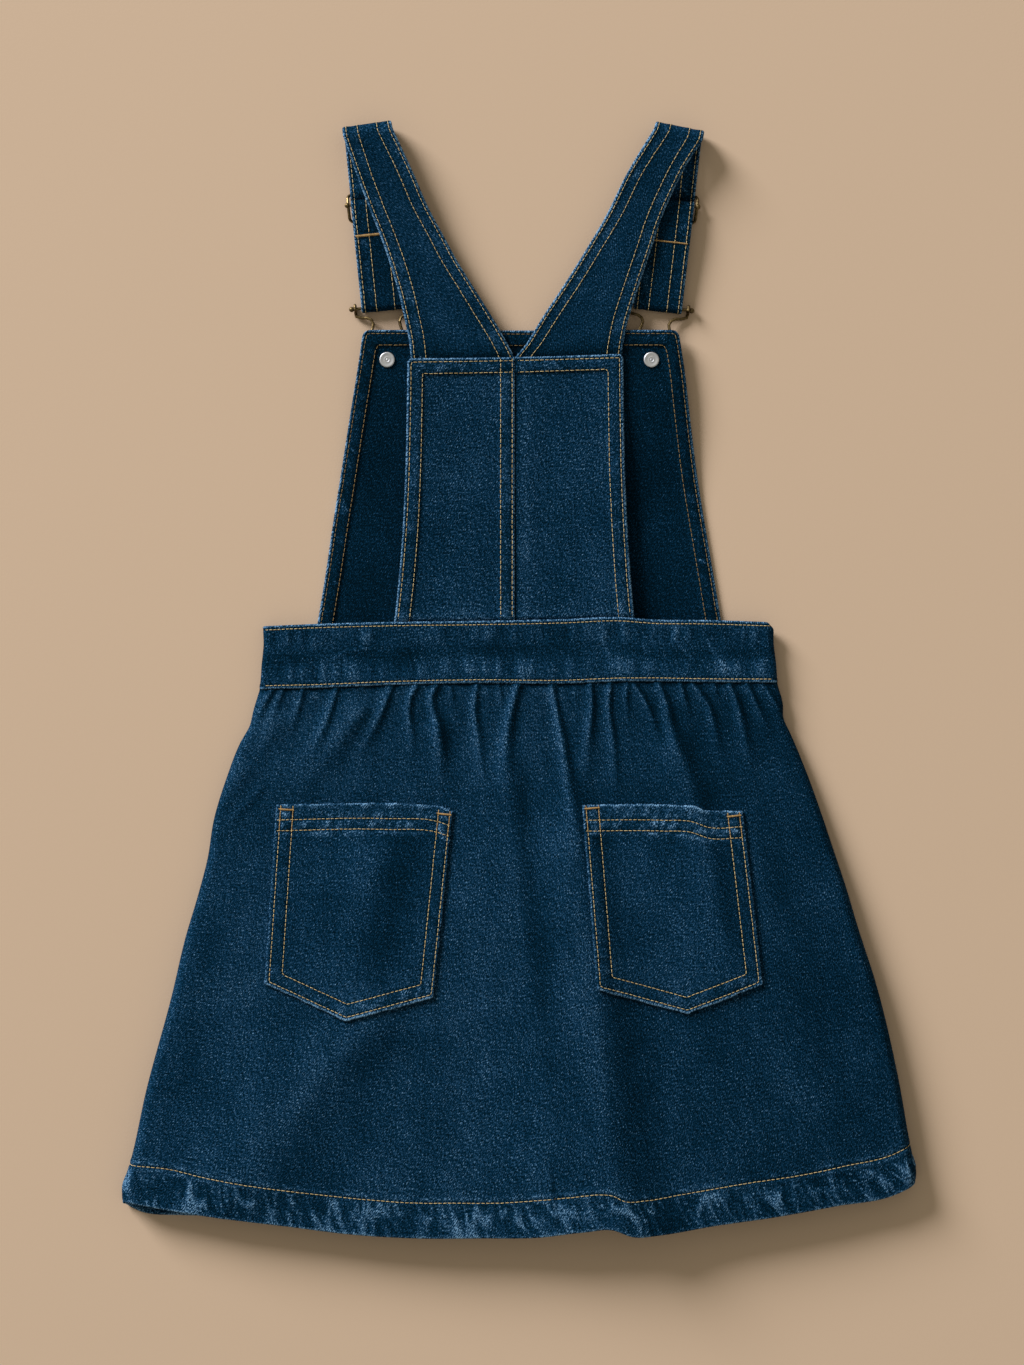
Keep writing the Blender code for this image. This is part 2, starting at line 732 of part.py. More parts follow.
def strap_rows(upper, run):
    """Both edges of the middle of the cloth: up from the bib, over the fold, and round both bars to the sewn end."""
    half = STRAP_WIDTH / 2
    rows = []
    numbers = range(len(upper))
    columns = [smooth(numbers, [row[i] for row in upper]) for i in range(6)]
    for i in range(2 * (len(upper) - 1)):
        values = [column(i / 2) for column in columns]
        rows.append((Vector(values[:3]), Vector(values[3:])))

    radius = (FOLD_TOP_Z - FOLD_LOW_Z) / 2
    for i in range(9):
        angle = math.pi * (0.5 - i / 8)
        turned = ease(i / 8)
        shift = run.fold_outward * radius * math.cos(angle)
        z = FOLD_LOW_Z + radius + radius * math.sin(angle)
        left = Vector((*run.fold_left, z)).lerp(run.point(-half, 0, z), turned)
        right = Vector((*run.fold_right, z)).lerp(run.point(half, 0, z), turned)
        rows.append((left + shift, right + shift))

    def level(along, z):
        rows.append((run.point(-half, along, z), run.point(half, along, z)))

    def around(along, z, start, end):
        for i in range(7):
            a = math.radians(mix(start, end, i / 6))
            level(along + STRAP_BEND * math.cos(a), z + STRAP_BEND * math.sin(a))

    level(run.slider * 0.35, FOLD_LOW_Z)
    for along, z in THREAD:
        level(run.slider + along, z)
    level(run.length - 20, 0.9)
    around(run.length, HOOK_BAR_Z, -90, 90)
    level(run.length - 14, HOOK_BAR_Z + STRAP_BEND + 0.3)
    for along, _, z in reversed(TAB_PATH):
        level(run.slider + along, z)
    around(run.slider, SLIDER_BAR_Z, 90, 270)
    for along, z, _ in TAB_PATH:
        level(run.slider + along, z)
    return rows


def strap(name, upper, run, collection, material):
    rows = strap_rows(upper, run)
    columns = 4

    def place(c, r):
        return rows[r][0].lerp(rows[r][1], c / (columns - 1))

    made = cloth(name, columns, len(rows), place, STRAP_CLOTH, collection, material)
    made.modifiers["wall"].offset = 0
    return made


# ---------------------------------------------------------------- buckles, buttons and tacks
def ball(name, centre, collection):
    bm = bmesh.new()
    bmesh.ops.create_uvsphere(bm, u_segments=12, v_segments=8, radius=KNOB * MM)
    mesh = bpy.data.meshes.new(name)
    bm.to_mesh(mesh)
    bm.free()
    made = add_object(name, mesh, collection)
    made.location = Vector(centre) * MM
    return made


def knobbed_bar(name, run, along, z, half, collection, helpers, material=None):
    """A round bar across the strap, with a ball riveted on each end."""
    start, end = run.point(-half, along, z) * MM, run.point(half, along, z) * MM
    bm = bmesh.new()
    radius = WIRE * MM
    bmesh.ops.create_cone(
        bm, cap_ends=True, segments=12, radius1=radius, radius2=radius, depth=(end - start).length
    )
    mesh = bpy.data.meshes.new(name)
    bm.to_mesh(mesh)
    bm.free()
    bar = add_object(name, mesh, collection, material)
    bar.location = (start + end) / 2
    bar.rotation_mode = "QUATERNION"
    bar.rotation_quaternion = (end - start).to_track_quat("Z", "Y")
    for side in (-1, 1):
        boolean(bar, ball(f"{name}_knob", run.point(side * half, along, z), helpers), "UNION")
    return bar


def slider(name, run, collection, helpers, material):
    """A wire rectangle with a bar across it, arched so that the strap passes over its outer wires."""
    upper, lower = SLIDER_ENDS
    points = []
    for aside, end, start in ((1, lower, 0), (-1, lower, 90), (-1, upper, 180), (1, upper, 270)):
        centre_aside = aside * (SLIDER_HALF - SLIDER_CORNER)
        centre_along = end - math.copysign(SLIDER_CORNER, end)
        for degrees in (0, 30, 60, 90):
            a = math.radians(start + degrees)
            along = centre_along + SLIDER_CORNER * math.sin(a)
            z = mix(SLIDER_BAR_Z, WIRE + 0.1, (along / (upper if along < 0 else lower)) ** 2)
            points.append(run.point(centre_aside + SLIDER_CORNER * math.cos(a), run.slider + along, z))
        if start in (90, 270):  # the middle of each upright, where the bar crosses it
            points.append(run.point(aside * SLIDER_HALF, run.slider, SLIDER_BAR_Z))
    frame = wire(name, points, collection, closed=True)
    frame.data.materials.append(material)
    bar = knobbed_bar(name + "_bar", run, run.slider, SLIDER_BAR_Z, SLIDER_HALF + 0.5, helpers, helpers)
    boolean(frame, bar, "UNION")
    return frame


def hook(name, run, button, collection, material):
    """One wire: an eye round each end of the bar, a neck, and a slot round the button's shank."""
    centre = Vector((*button, HOOK_SLOT_Z))
    to_button = Vector(button) - run.bar
    reach, drift = to_button.dot(run.down), to_button.dot(run.across)
    eye_radius = 2 * WIRE + GAP + 0.1
    half = []
    for degrees in range(100, -171, -30):
        a = math.radians(degrees)
        half.append((HOOK_EYE_ASIDE, -eye_radius * math.cos(a), HOOK_BAR_Z + eye_radius * math.sin(a)))
    half += list(HOOK_NECK)

    def placed(aside, along, z):
        return run.point(aside + drift * ease(along / reach), run.length + along, z)

    points = [placed(aside, along, z) for aside, along, z in half]
    slot = SHANK_RADIUS + GAP + 0.15 + WIRE
    for degrees in range(0, 181, 30):
        a = math.radians(degrees)
        shift = run.across * slot * math.cos(a) + run.down * slot * math.sin(a)
        points.append(centre + Vector((*shift, 0)))
    points += [placed(-aside, along, z) for aside, along, z in reversed(half)]
    made = wire(name, points, collection)
    made.data.materials.append(material)
    return made


def turned(name, profile, centre, collection, material):
    """A turned piece about a vertical axis. The profile is (radius, z) in mm, from the axis round to the axis."""
    bm = bmesh.new()
    points = [bm.verts.new((radius * MM, 0, z * MM)) for radius, z in profile]
    for a, b in zip(points, points[1:]):
        bm.edges.new((a, b))
    mesh = bpy.data.meshes.new(name)
    bm.to_mesh(mesh)
    bm.free()
    made = add_object(name, mesh, collection, material)
    made.location = (centre[0] * MM, centre[1] * MM, 0)
    screw = made.modifiers.new("turn", "SCREW")
    screw.steps = 20
    screw.render_steps = 20
    screw.use_merge_vertices = True
    screw.merge_threshold = 0.00005


def button(name, centre, collection, material):
    """The button under the front bib, with its head on the surface and its shank up to the cloth."""
    top = FRONT_BIB_LIFT - GAP
    rim = BUTTON_RADIUS
    head = ((rim - 0.6, 2.6), (rim, 1.8), (rim - 0.8, 0.4), (rim - 2.5, 0.0))
    turned(name, ((0, top), (SHANK_RADIUS, top), (SHANK_RADIUS, 2.8), *head, (0, 0)), centre, collection, material)


def tack(name, centre, collection, material):
    """The dished head of the button's tack, on the inside of the bib."""
    foot = FRONT_BIB_LIFT + DENIM + GAP
    top = ((0, foot + 0.7), (1.2, foot + 0.7), (1.8, foot + 1.0), (3.7, foot + 0.9))
    turned(name, (*top, (TACK_RADIUS - 0.1, foot + 0.5), (TACK_RADIUS, foot), (0, foot)), centre, collection, material)


# ---------------------------------------------------------------- the dress
def main():
    for item in list(bpy.data.objects):
        bpy.data.objects.remove(item, do_unlink=True)
    dress = bpy.data.collections.new("pinafore_dress")
    helpers = bpy.data.collections.new("cutters")
    for collection in (dress, helpers):
        bpy.context.scene.collection.children.link(collection)
    look = make_materials()

    back = skirt_back(dress, look["skirt_denim"])
    skirt_front(dress, look["skirt_denim"])
    waistband("waistband_back", True, dress, look["waistband_denim"])
    waistband("waistband_front", False, dress, look["waistband_denim"])
    for name, *corners in POCKETS:
        pocket(name, corners, back, dress, helpers, look["pocket_denim"])
    front_bib(dress, look["front_bib_denim"])
    back_bib("bib_back_left", -1, dress, look["back_bib_denim"])
    back_bib("bib_back_right", 1, dress, look["back_bib_denim"])
    brass = look["antique_brass"]
    for side, upper, bar, x in zip(("left", "right"), (LEFT_STRAP, RIGHT_STRAP), HOOK_BARS, BUTTON_X):
        run = StrapRun(upper, bar)
        centre = (x, BUTTON_Y)
        strap(f"strap_{side}", upper, run, dress, look["strap_denim"])
        slider(f"slider_{side}", run, dress, helpers, brass)
        knobbed_bar(f"hook_bar_{side}", run, run.length, HOOK_BAR_Z, HOOK_BAR_HALF, dress, helpers, brass)
        hook(f"hook_{side}", run, centre, dress, brass)
        button(f"button_{side}", centre, dress, look["button_brass"])
        tack(f"tack_{side}", centre, dress, look["tack_nickel"])
    helpers.hide_render = True


main()
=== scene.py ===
"""The looks of a child's denim pinafore dress, laid face down with its back uppermost.

Sizes are in millimetres in the CAD frame: +X to the right of the back, +Y towards the shoulders, +Z up.
Each cut piece of cloth is a closed shell on a fine grid, with its seams, puckers, folds, wear and painted shade in the
mesh.
"""

import functools
import math

import bpy
import numpy as np
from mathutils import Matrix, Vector
from mathutils.bvhtree import BVHTree


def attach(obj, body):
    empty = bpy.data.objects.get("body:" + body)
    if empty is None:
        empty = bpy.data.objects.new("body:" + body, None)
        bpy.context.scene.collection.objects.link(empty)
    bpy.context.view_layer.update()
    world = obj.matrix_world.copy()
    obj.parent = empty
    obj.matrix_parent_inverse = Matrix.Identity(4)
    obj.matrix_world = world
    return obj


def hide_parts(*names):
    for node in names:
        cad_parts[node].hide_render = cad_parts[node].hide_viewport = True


MM = 0.001
SCALE = 0.58  # mm to one pixel of the photograph
MIDDLE_PX = (518.5, 680.0)  # the pixel over the frame's origin
NEARER = 0.9915  # the top of the cloth is nearer the camera than the floor, so it looks this much larger

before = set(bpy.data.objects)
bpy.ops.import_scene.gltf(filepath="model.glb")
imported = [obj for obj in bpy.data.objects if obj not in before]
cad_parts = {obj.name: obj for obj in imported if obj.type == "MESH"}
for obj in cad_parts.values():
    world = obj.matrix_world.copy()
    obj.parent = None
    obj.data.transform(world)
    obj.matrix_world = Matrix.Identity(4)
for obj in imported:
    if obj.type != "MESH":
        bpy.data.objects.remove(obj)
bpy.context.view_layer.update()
dice = np.random.default_rng(20)

# ---- sizes that repeat the CAD's, in mm
GAP = 0.3
DENIM = 1.2
HEMMED = 2.2
STRAP_CLOTH = 1.6
POCKET_CLOTH = 1.6
SEAM_Z = 4.6
SEAM_RISE = 0.6
FRONT_ROLL = 4.0
BACK_ROLL = 5.0
SKIRT_LENGTH = 305.0
SKIRT_LEFT_Y = (-5.8, -303.5)
SKIRT_RIGHT_Y = (-1.9, -294.0)
WAIST_Z = 7.9
SIDE_Z = 13.8
CROWN = 5.0
HEM_RISE = 2.2
WAISTBAND_Z = 9.3
WAIST_HALF = 150.0
FRONT_BIB_BOTTOM = 31.3
FRONT_BIB_TOP = 202.6
FRONT_BIB_LIFT = 5.8
FRONT_BIB_CORNER = 4.0
BACK_BIB_CORNER = 3.0
CENTRE_SEAM = -2.0
BUTTON_Y = 185.3
BUTTON_X = (-76.0, 76.9)
TACK_RADIUS = 4.5
STRAP_WIDTH = 28.2
FOLD_TOP_Z = 12.8
FOLD_OUT = 5.1
FOLD_LOW_Z = 0.8
WIRE = 0.9
STRAP_BEND = WIRE + GAP + 0.05 + STRAP_CLOTH / 2
HOOK_BAR_Z = 3.1
SLIDER_BAR_Z = 4.75
SLIDER_UP = 60.0
TAB = 20.0
WAISTBAND_DEPTH = 36.5
HEM_DEPTH = 21.0
ROW_OUT, ROW_IN = 2.2, 8.8  # rows of stitches, in from an edge
LAP_ROWS = (1.5, 8.2)  # rows of stitches of the back bib's lap seam, from the seam

# ---- how fine the grids are, in mm
CELL = 0.7  # taken as the size of a cell beside an edge
LEAST_STEP = 0.19
TUCK_REACH = 3.6  # how far a skirt panel goes on under the waistband, in TUCK_ROWS rows
TUCK_ROWS = 4
ALONG_CLOTH = 1.03  # distance over the skirt's folds to its length in the frame
BIB_MARGIN = 12.0  # columns this near a bib's side keep their places
FLOOR_HALF = 2500.0

SKIRT_SIDES = (
    # down, left x, right x
    (0.00, -150.0, 149.8),
    (0.04, -153.6, 153.1),
    (0.07, -155.8, 153.6),
    (0.10, -160.8, 157.6),
    (0.17, -169.0, 166.1),
    (0.25, -176.3, 174.6),
    (0.33, -180.2, 182.4),
    (0.40, -185.6, 189.2),
    (0.48, -192.6, 196.1),
    (0.60, -201.0, 207.2),
    (0.78, -215.3, 219.5),
    (0.93, -225.2, 227.3),
    (0.98, -229.7, 230.4),
    (1.00, -229.5, 229.4),
)
BACK_HEM = (
    # x, y
    (-229.5, -303.5),
    (-213.2, -306.6),
    (-172.8, -312.8),
    (-134.0, -317.4),
    (-95.1, -322.1),
    (-56.3, -324.1),
    (-22.3, -323.9),
    (11.7, -323.1),
    (37.2, -319.6),
    (54.0, -318.2),
    (66.0, -322.2),
    (79.8, -321.8),
    (113.8, -316.7),
    (147.8, -312.0),
    (181.8, -306.0),
    (215.9, -300.0),
    (229.4, -294.0),
)
FRONT_HEM = (
    # x, y
    (-229.5, -303.5),
    (-220.0, -308.2),
    (-196.0, -310.6),
    (-172.0, -311.0),
    (-100.0, -317.5),
    (0.0, -319.5),
    (110.0, -313.0),
    (229.4, -294.0),
)
WAISTBAND_EDGES = (
    # x, lower y, upper y
    (-150.0, -5.5, 31.0),
    (-118.0, -4.8, 32.4),
    (-73.0, -3.0, 33.6),
    (-23.0, -2.0, 34.2),
    (25.0, -2.3, 35.2),
    (62.0, -0.9, 36.3),
    (74.0, -0.9, 35.2),
    (108.0, -1.4, 34.7),
    (149.8, -1.6, 33.4),
)
WAISTBAND_ENDS = (
    # down, drawn in
    (0.0, 1.8),
    (0.35, 2.1),
    (0.65, 1.0),
    (1.0, 0.0),
)
FRONT_BIB_SIDES = (
    # y, left x, right x
    (31.0, -117.0, 118.2),
    (60.0, -112.2, 113.4),
    (90.0, -107.8, 108.3),
    (120.0, -103.0, 103.5),
    (150.0, -98.2, 99.7),
    (180.0, -93.3, 96.2),
    (203.0, -89.8, 92.6),
)
BACK_BIB_SIDES = (
    # y, left x, right x, height of the underside at the sides, and at the centre seam
    (31.0, -72.3, 67.3, 6.9, 6.9),
    (57.0, -69.5, 65.0, 6.7, 6.2),
    (88.0, -67.0, 63.0, 6.5, 5.9),
    (120.0, -65.5, 61.6, 6.7, 5.9),
    (157.0, -64.6, 60.9, 7.4, 6.1),
    (190.0, -64.2, 60.5, 8.2, 6.8),
)
BACK_BIB_TOP = (
    # x, y
    (-65.0, 185.8),
    (-2.0, 186.8),
    (61.0, 188.4),
)
LEFT_STRAP = (
    # left x, y, z, right x, y, z
    (-62.3, 186.3, 9.2, -2.4, 187.1, 7.9),
    (-63.5, 197.0, 9.3, -8.7, 198.9, 8.3),
    (-66.0, 209.1, 9.4, -17.1, 212.9, 8.9),
    (-69.7, 225.0, 9.6, -26.2, 227.4, 9.4),
    (-74.5, 240.9, 9.9, -35.7, 242.7, 9.8),
    (-80.0, 256.8, 10.1, -43.4, 256.9, 10.1),
    (-86.8, 273.8, 10.8, -52.5, 273.8, 10.9),
    (-94.1, 293.4, 11.9, -60.8, 292.9, 12.0),
    (-101.2, 313.6, 12.8, -72.6, 318.4, 12.8),
)
RIGHT_STRAP = (
    (-1.6, 187.1, 7.9, 59.9, 188.7, 9.2),
    (4.6, 194.6, 8.3, 61.0, 197.0, 9.3),
    (14.3, 210.4, 8.9, 64.1, 210.5, 9.4),
    (26.5, 228.7, 9.4, 69.9, 228.5, 9.6),
    (38.7, 248.2, 9.9, 76.9, 249.4, 10.0),
    (50.9, 268.9, 10.8, 83.5, 268.9, 10.7),
    (63.1, 293.4, 12.0, 94.8, 293.4, 11.9),
    (78.2, 318.2, 12.8, 106.2, 311.2, 12.8),
)
HOOK_BARS = (
    # x, y
    (-77.0, 216.8),
    (80.8, 216.4),
)
THREAD = (
    # along the strap from the slider's bar, z
    (-15.0, 0.8),
    (-11.0, 1.6),
    (-8.2, 3.0),
    (-6.3, 3.3),
    (-4.5, 2.8),
    (-2.4, 1.1),
    (0.0, 0.8),
    (3.0, 0.9),
    (5.6, 1.9),
    (7.5, 3.0),
    (9.3, 3.3),
    (11.2, 3.0),
    (14.0, 1.7),
    (18.0, 0.9),
)
TAB_PATH = (
    # along, z of the sewn end, z of the layer above it
    (4.0, 3.2, 7.0),
    (8.0, 5.1, 7.2),
    (11.0, 5.25, 7.2),
    (TAB, 4.9, 6.85),
)
POCKETS = (
    # name, then its corners: along the top from the left, lower right, tip, lower left
    ("pocket_left", (-141.1, -72.5), (-78.6, -71.2), (-46.7, -73.0), (-38.2, -76.0),
     (-49.2, -184.3), (-100.1, -197.8), (-147.6, -176.3)),
    ("pocket_right", (37.1, -72.5), (83.8, -72.2), (102.0, -73.2), (109.0, -76.0), (130.5, -76.0),
     (141.9, -176.8), (98.0, -193.8), (45.5, -179.3)),
)  # fmt: skip


# ---- curves and fields, on arrays
def seen(*points):
    """Places on the raised cloth read from the photograph in its own pixels, as mm in the frame."""
    scale = SCALE * NEARER
    return [((x - MIDDLE_PX[0]) * scale, (MIDDLE_PX[1] - y) * scale) for x, y in points]


def smooth(places, values):
    """A cubic through the points, with slopes from the neighbours."""
    places, values = np.asarray(places, float), np.asarray(values, float)
    slopes = np.gradient(values, places)

    def at(x):
        x = np.clip(x, places[0], places[-1])
        i = np.clip(np.searchsorted(places, x, side="right") - 1, 0, len(places) - 2)
        step = places[i + 1] - places[i]
        t = (x - places[i]) / step
        start = values[i] * (1 + 2 * t) * (1 - t) ** 2 + slopes[i] * step * t * (1 - t) ** 2
        return start + values[i + 1] * t * t * (3 - 2 * t) + slopes[i + 1] * step * t * t * (t - 1)

    return at


def column_of(table, column):
    return smooth([row[0] for row in table], [row[column] for row in table])


def unit(x):
    return np.clip(x, 0.0, 1.0)


def ease(t):
    t = unit(t)
    return t * t * (3 - 2 * t)


def mix(a, b, t):
    return a + (b - a) * t


def hump(d, width):
    return np.exp(-((d / width) ** 2))


def least(*fields):
    return functools.reduce(np.minimum, fields)


def noise(u, v, seed):
    """Smooth random values from -1 to 1, one cell of the lattice to a unit."""
    u, v = np.broadcast_arrays(np.asarray(u, float), np.asarray(v, float))
    i, j = np.floor(u).astype(np.int64), np.floor(v).astype(np.int64)
    fu, fv = ease(u - i), ease(v - j)

    def corner(a, b):
        n = (a * 374761393 + b * 668265263 + seed * 974634777) & 0xFFFFFFFF
        n = ((n ^ (n >> 13)) * 1274126177) & 0xFFFFFFFF
        return ((n ^ (n >> 16)) & 0xFFFF) / 32767.5 - 1

    low = mix(corner(i, j), corner(i + 1, j), fu)
    high = mix(corner(i, j + 1), corner(i + 1, j + 1), fu)
    return mix(low, high, fv)


def near(x, y, path):
    """At each point: distance to the path, length along it, and 1 on the right of a path that runs down the garment."""
    best = np.full(np.shape(x), 1e9)
    along, side = np.zeros(np.shape(x)), np.zeros(np.shape(x))
    start = 0.0
    for (ax, ay), (bx, by) in zip(path, path[1:]):
        dx, dy = bx - ax, by - ay
        length = math.hypot(dx, dy)
        t = unit(((x - ax) * dx + (y - ay) * dy) / length**2)
        away = np.hypot(x - ax - t * dx, y - ay - t * dy)
        closer = away < best
        best = np.where(closer, away, best)
        along = np.where(closer, start + t * length, along)
        side = np.where(closer, np.sign((y - ay) * dx - (x - ax) * dy), side)
        start += length
    return best, along, side


def path_point(path, along):
    """The point at a length along the first stretch of a path."""
    start, end = np.array(path[0]), np.array(path[1])
    return start + (end - start) * along / np.linalg.norm(end - start)


def path_length(path):
    return sum(math.dist(a, b) for a, b in zip(path, path[1:]))


def unit_rows(vectors):
    return vectors / np.maximum(np.linalg.norm(vectors, axis=-1, keepdims=True), 1e-9)


def run_of(points):
    """Distance along a line of points, from its first."""
    return np.concatenate([[0], np.cumsum(np.linalg.norm(np.diff(points, axis=0), axis=1))])


def at_run(places, run, values):
    """Each column of the values at these distances along the run."""
    return np.stack([np.interp(places, run, column) for column in np.transpose(values)], axis=-1)


def rounded(points, step=2.0):
    """A smooth line through the points, with a point about every step mm."""
    points = np.asarray(points, float)
    run = run_of(points)
    t = np.linspace(0, run[-1], max(int(run[-1] / step), 2))
    return np.stack([smooth(run, column)(t) for column in points.T], axis=1)


def blurred(field, cells):
    """The field averaged over that many cells each way, twice along each axis."""
    for axis in (0, 0, 1, 1):
        padded = np.pad(field, [(cells, cells) if a == axis else (0, 0) for a in (0, 1)], mode="edge")
        total = np.cumsum(padded, axis=axis)
        behind = np.arange(field.shape[axis])
        field = (np.take(total, behind + 2 * cells, axis=axis) - np.take(total, behind, axis=axis)) / (2 * cells)
    return field


def odd(places):
    """The places, with one more in the middle of the widest gap where their number is even."""
    if len(places) % 2:
        return places
    i = int(np.argmax(np.diff(places)))
    return np.insert(places, i + 1, (places[i] + places[i + 1]) / 2)


def spaced(length, step, marks=(), fine=0.5):
    """Places from 0 to length: close together at both ends and beside the marks, and step apart elsewhere."""
    want = [0, 0.2, 0.45, 0.75, 1.1, 1.5]
    want += [length - w for w in want] + [mark + fine * i for mark in marks for i in range(-2, 3)]
    want = sorted(w for w in set(want) if 0 <= w <= length)
    kept = want[:1]
    for place in want[1:]:
        if place - kept[-1] > LEAST_STEP:
            kept.append(place)
    kept[-1] = length
    found = []
    for a, b in zip(kept, kept[1:]):
        count = max(1, round((b - a) / step))
        found += [a + (b - a) * i / count for i in range(count)]
    return odd(np.array(found + [length]))


# ---- meshes
def normals_of(grid):
    """Unit normals of a grid of points: up, where rows run down the garment and columns run to the right."""
    return unit_rows(np.cross(np.gradient(grid, axis=0), np.gradient(grid, axis=1)))


def mesh_object(name, points, faces, material, attributes=None):
    """An object from points in mm, and a list of arrays of faces, each of one number of corners."""
    mesh = bpy.data.meshes.new(name)
    mesh.vertices.add(len(points))
    mesh.vertices.foreach_set("co", (np.asarray(points) * MM).astype(np.float32).ravel())
    corners = np.concatenate([f.ravel() for f in faces]).astype(np.int32)
    counts = np.concatenate([np.full(len(f), f.shape[1]) for f in faces])
    mesh.loops.add(len(corners))
    mesh.loops.foreach_set("vertex_index", corners)
    mesh.polygons.add(len(counts))
    mesh.polygons.foreach_set("loop_start", np.concatenate([[0], np.cumsum(counts)[:-1]]).astype(np.int32))
    mesh.update(calc_edges=True)
    mesh.shade_smooth()
    for key, values in (attributes or {}).items():
        kind = "FLOAT_VECTOR" if values.ndim == 2 else "FLOAT"
        layer = mesh.attributes.new(key, kind, "POINT")
        layer.data.foreach_set("vector" if values.ndim == 2 else "value", values.astype(np.float32).ravel())
    mesh.materials.append(material)
    made = bpy.data.objects.new(name, mesh)
    bpy.context.scene.collection.objects.link(made)
    return made


def shell(name, outside, thickness, edge, material, weave, detail=0.0, wear=0.0, painted_shade=0.0, facing=1, centred=False):
    """A closed piece of cloth from the grid of its outside. The two faces meet in a round edge where edge is 0.

    The grid has an odd number of rows and of columns.
    """
    n = normals_of(outside) * facing
    half = np.broadcast_to(np.asarray(thickness, float) / 2, edge.shape)
    middle = outside if centred else outside - n * half[..., None]
    swell = np.sqrt(unit(1 - (1 - unit(edge / half)) ** 2))
    fade = unit(edge / (1.4 * half))
    detail = np.broadcast_to(detail, edge.shape)
    top = middle + n * (half * swell + detail * fade)[..., None]
    low_detail = detail * fade * (-0.8 if centred else 0.0)
    bottom = middle - n * (half * swell + low_detail)[..., None]
    for face in (top, bottom):
        face[..., 2] = np.maximum(face[..., 2], 0.0)

    rows, columns = edge.shape
    index = np.arange(rows * columns).reshape(rows, columns)
    inner = index.copy()
    kept = (slice(2, rows - 2, 2), slice(2, columns - 2, 2))  # every other row and column lines the inside
    inner[kept] = rows * columns + np.arange(inner[kept].size).reshape(inner[kept].shape)

    def quads(i, far=1):
        return np.stack([i[:-far:far, :-far:far], i[far::far, :-far:far], i[far::far, far::far],
                         i[:-far:far, far::far]], axis=-1)  # fmt: skip

    lining = quads(inner, 2)
    ring = [
        np.insert(lining[0, 1:-1], 4, inner[0, 3:-2:2], axis=1),
        np.insert(lining[-1, 1:-1], 2, inner[-1, 3:-2:2], axis=1),
        np.insert(lining[1:-1, 0], 1, inner[3:-2:2, 0], axis=1),
        np.insert(lining[1:-1, -1], 3, inner[3:-2:2, -1], axis=1),
    ]
    a, b, c, d = lining[0, 0], lining[-1, 0], lining[-1, -1], lining[0, -1]
    ends = [
        [a[0], inner[1, 0], a[1], a[2], a[3], inner[0, 1]],
        [b[0], inner[-2, 0], b[1], inner[-1, 1], b[2], b[3]],
        [c[0], c[1], inner[-1, -2], c[2], inner[-2, -1], c[3]],
        [d[0], d[1], d[2], inner[1, -1], d[3], inner[0, -2]],
    ]
    outer_faces = [quads(index).reshape(-1, 4)]
    inner_faces = [lining[1:-1, 1:-1].reshape(-1, 4), np.concatenate(ring), np.array(ends)]
    turned_back = outer_faces if facing < 0 else inner_faces
    turned_back[:] = [faces[:, ::-1] for faces in turned_back]

    def both(field):
        field = np.broadcast_to(field, edge.shape)
        return np.concatenate([field.ravel(), field[kept].ravel()])

    points = np.concatenate([top.reshape(-1, 3), bottom[kept].reshape(-1, 3)])
    seed = 37.0 * (sum(ord(letter) for letter in name) % 11)
    flat = np.stack([both(weave[0]), both(weave[1]), np.full(len(points), seed)], axis=1)
    # the layers: weave, pale wear, and painted shade that darkens the cloth
    layers = {"weave": flat, "wear": both(wear), "painted_shade": both(painted_shade)}
    made = mesh_object(name, points, outer_faces + inner_faces, material, layers)
    return made, top, bottom, n


def dress(piece, node=None):
    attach(piece, "root")
    if node:
        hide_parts(node)


def cloth(node, slot, *fields, **ways):
    """The shell of cloth that stands for a node."""
    made = shell(node + "_cloth", *fields, **ways)[0]
    dress(made, node)
    return made


# ---- stitches
THREAD_RADIUS = 0.205
FINE_THREAD = 0.18
RING = 5
STATIONS = np.array([0.0, 0.10, 0.5, 0.90, 1.0])
GIRTH = np.array([0.55, 0.95, 1.0, 0.95, 0.55])
LIFT = np.array([-0.8, 0.05, 0.4, 0.05, -0.8])


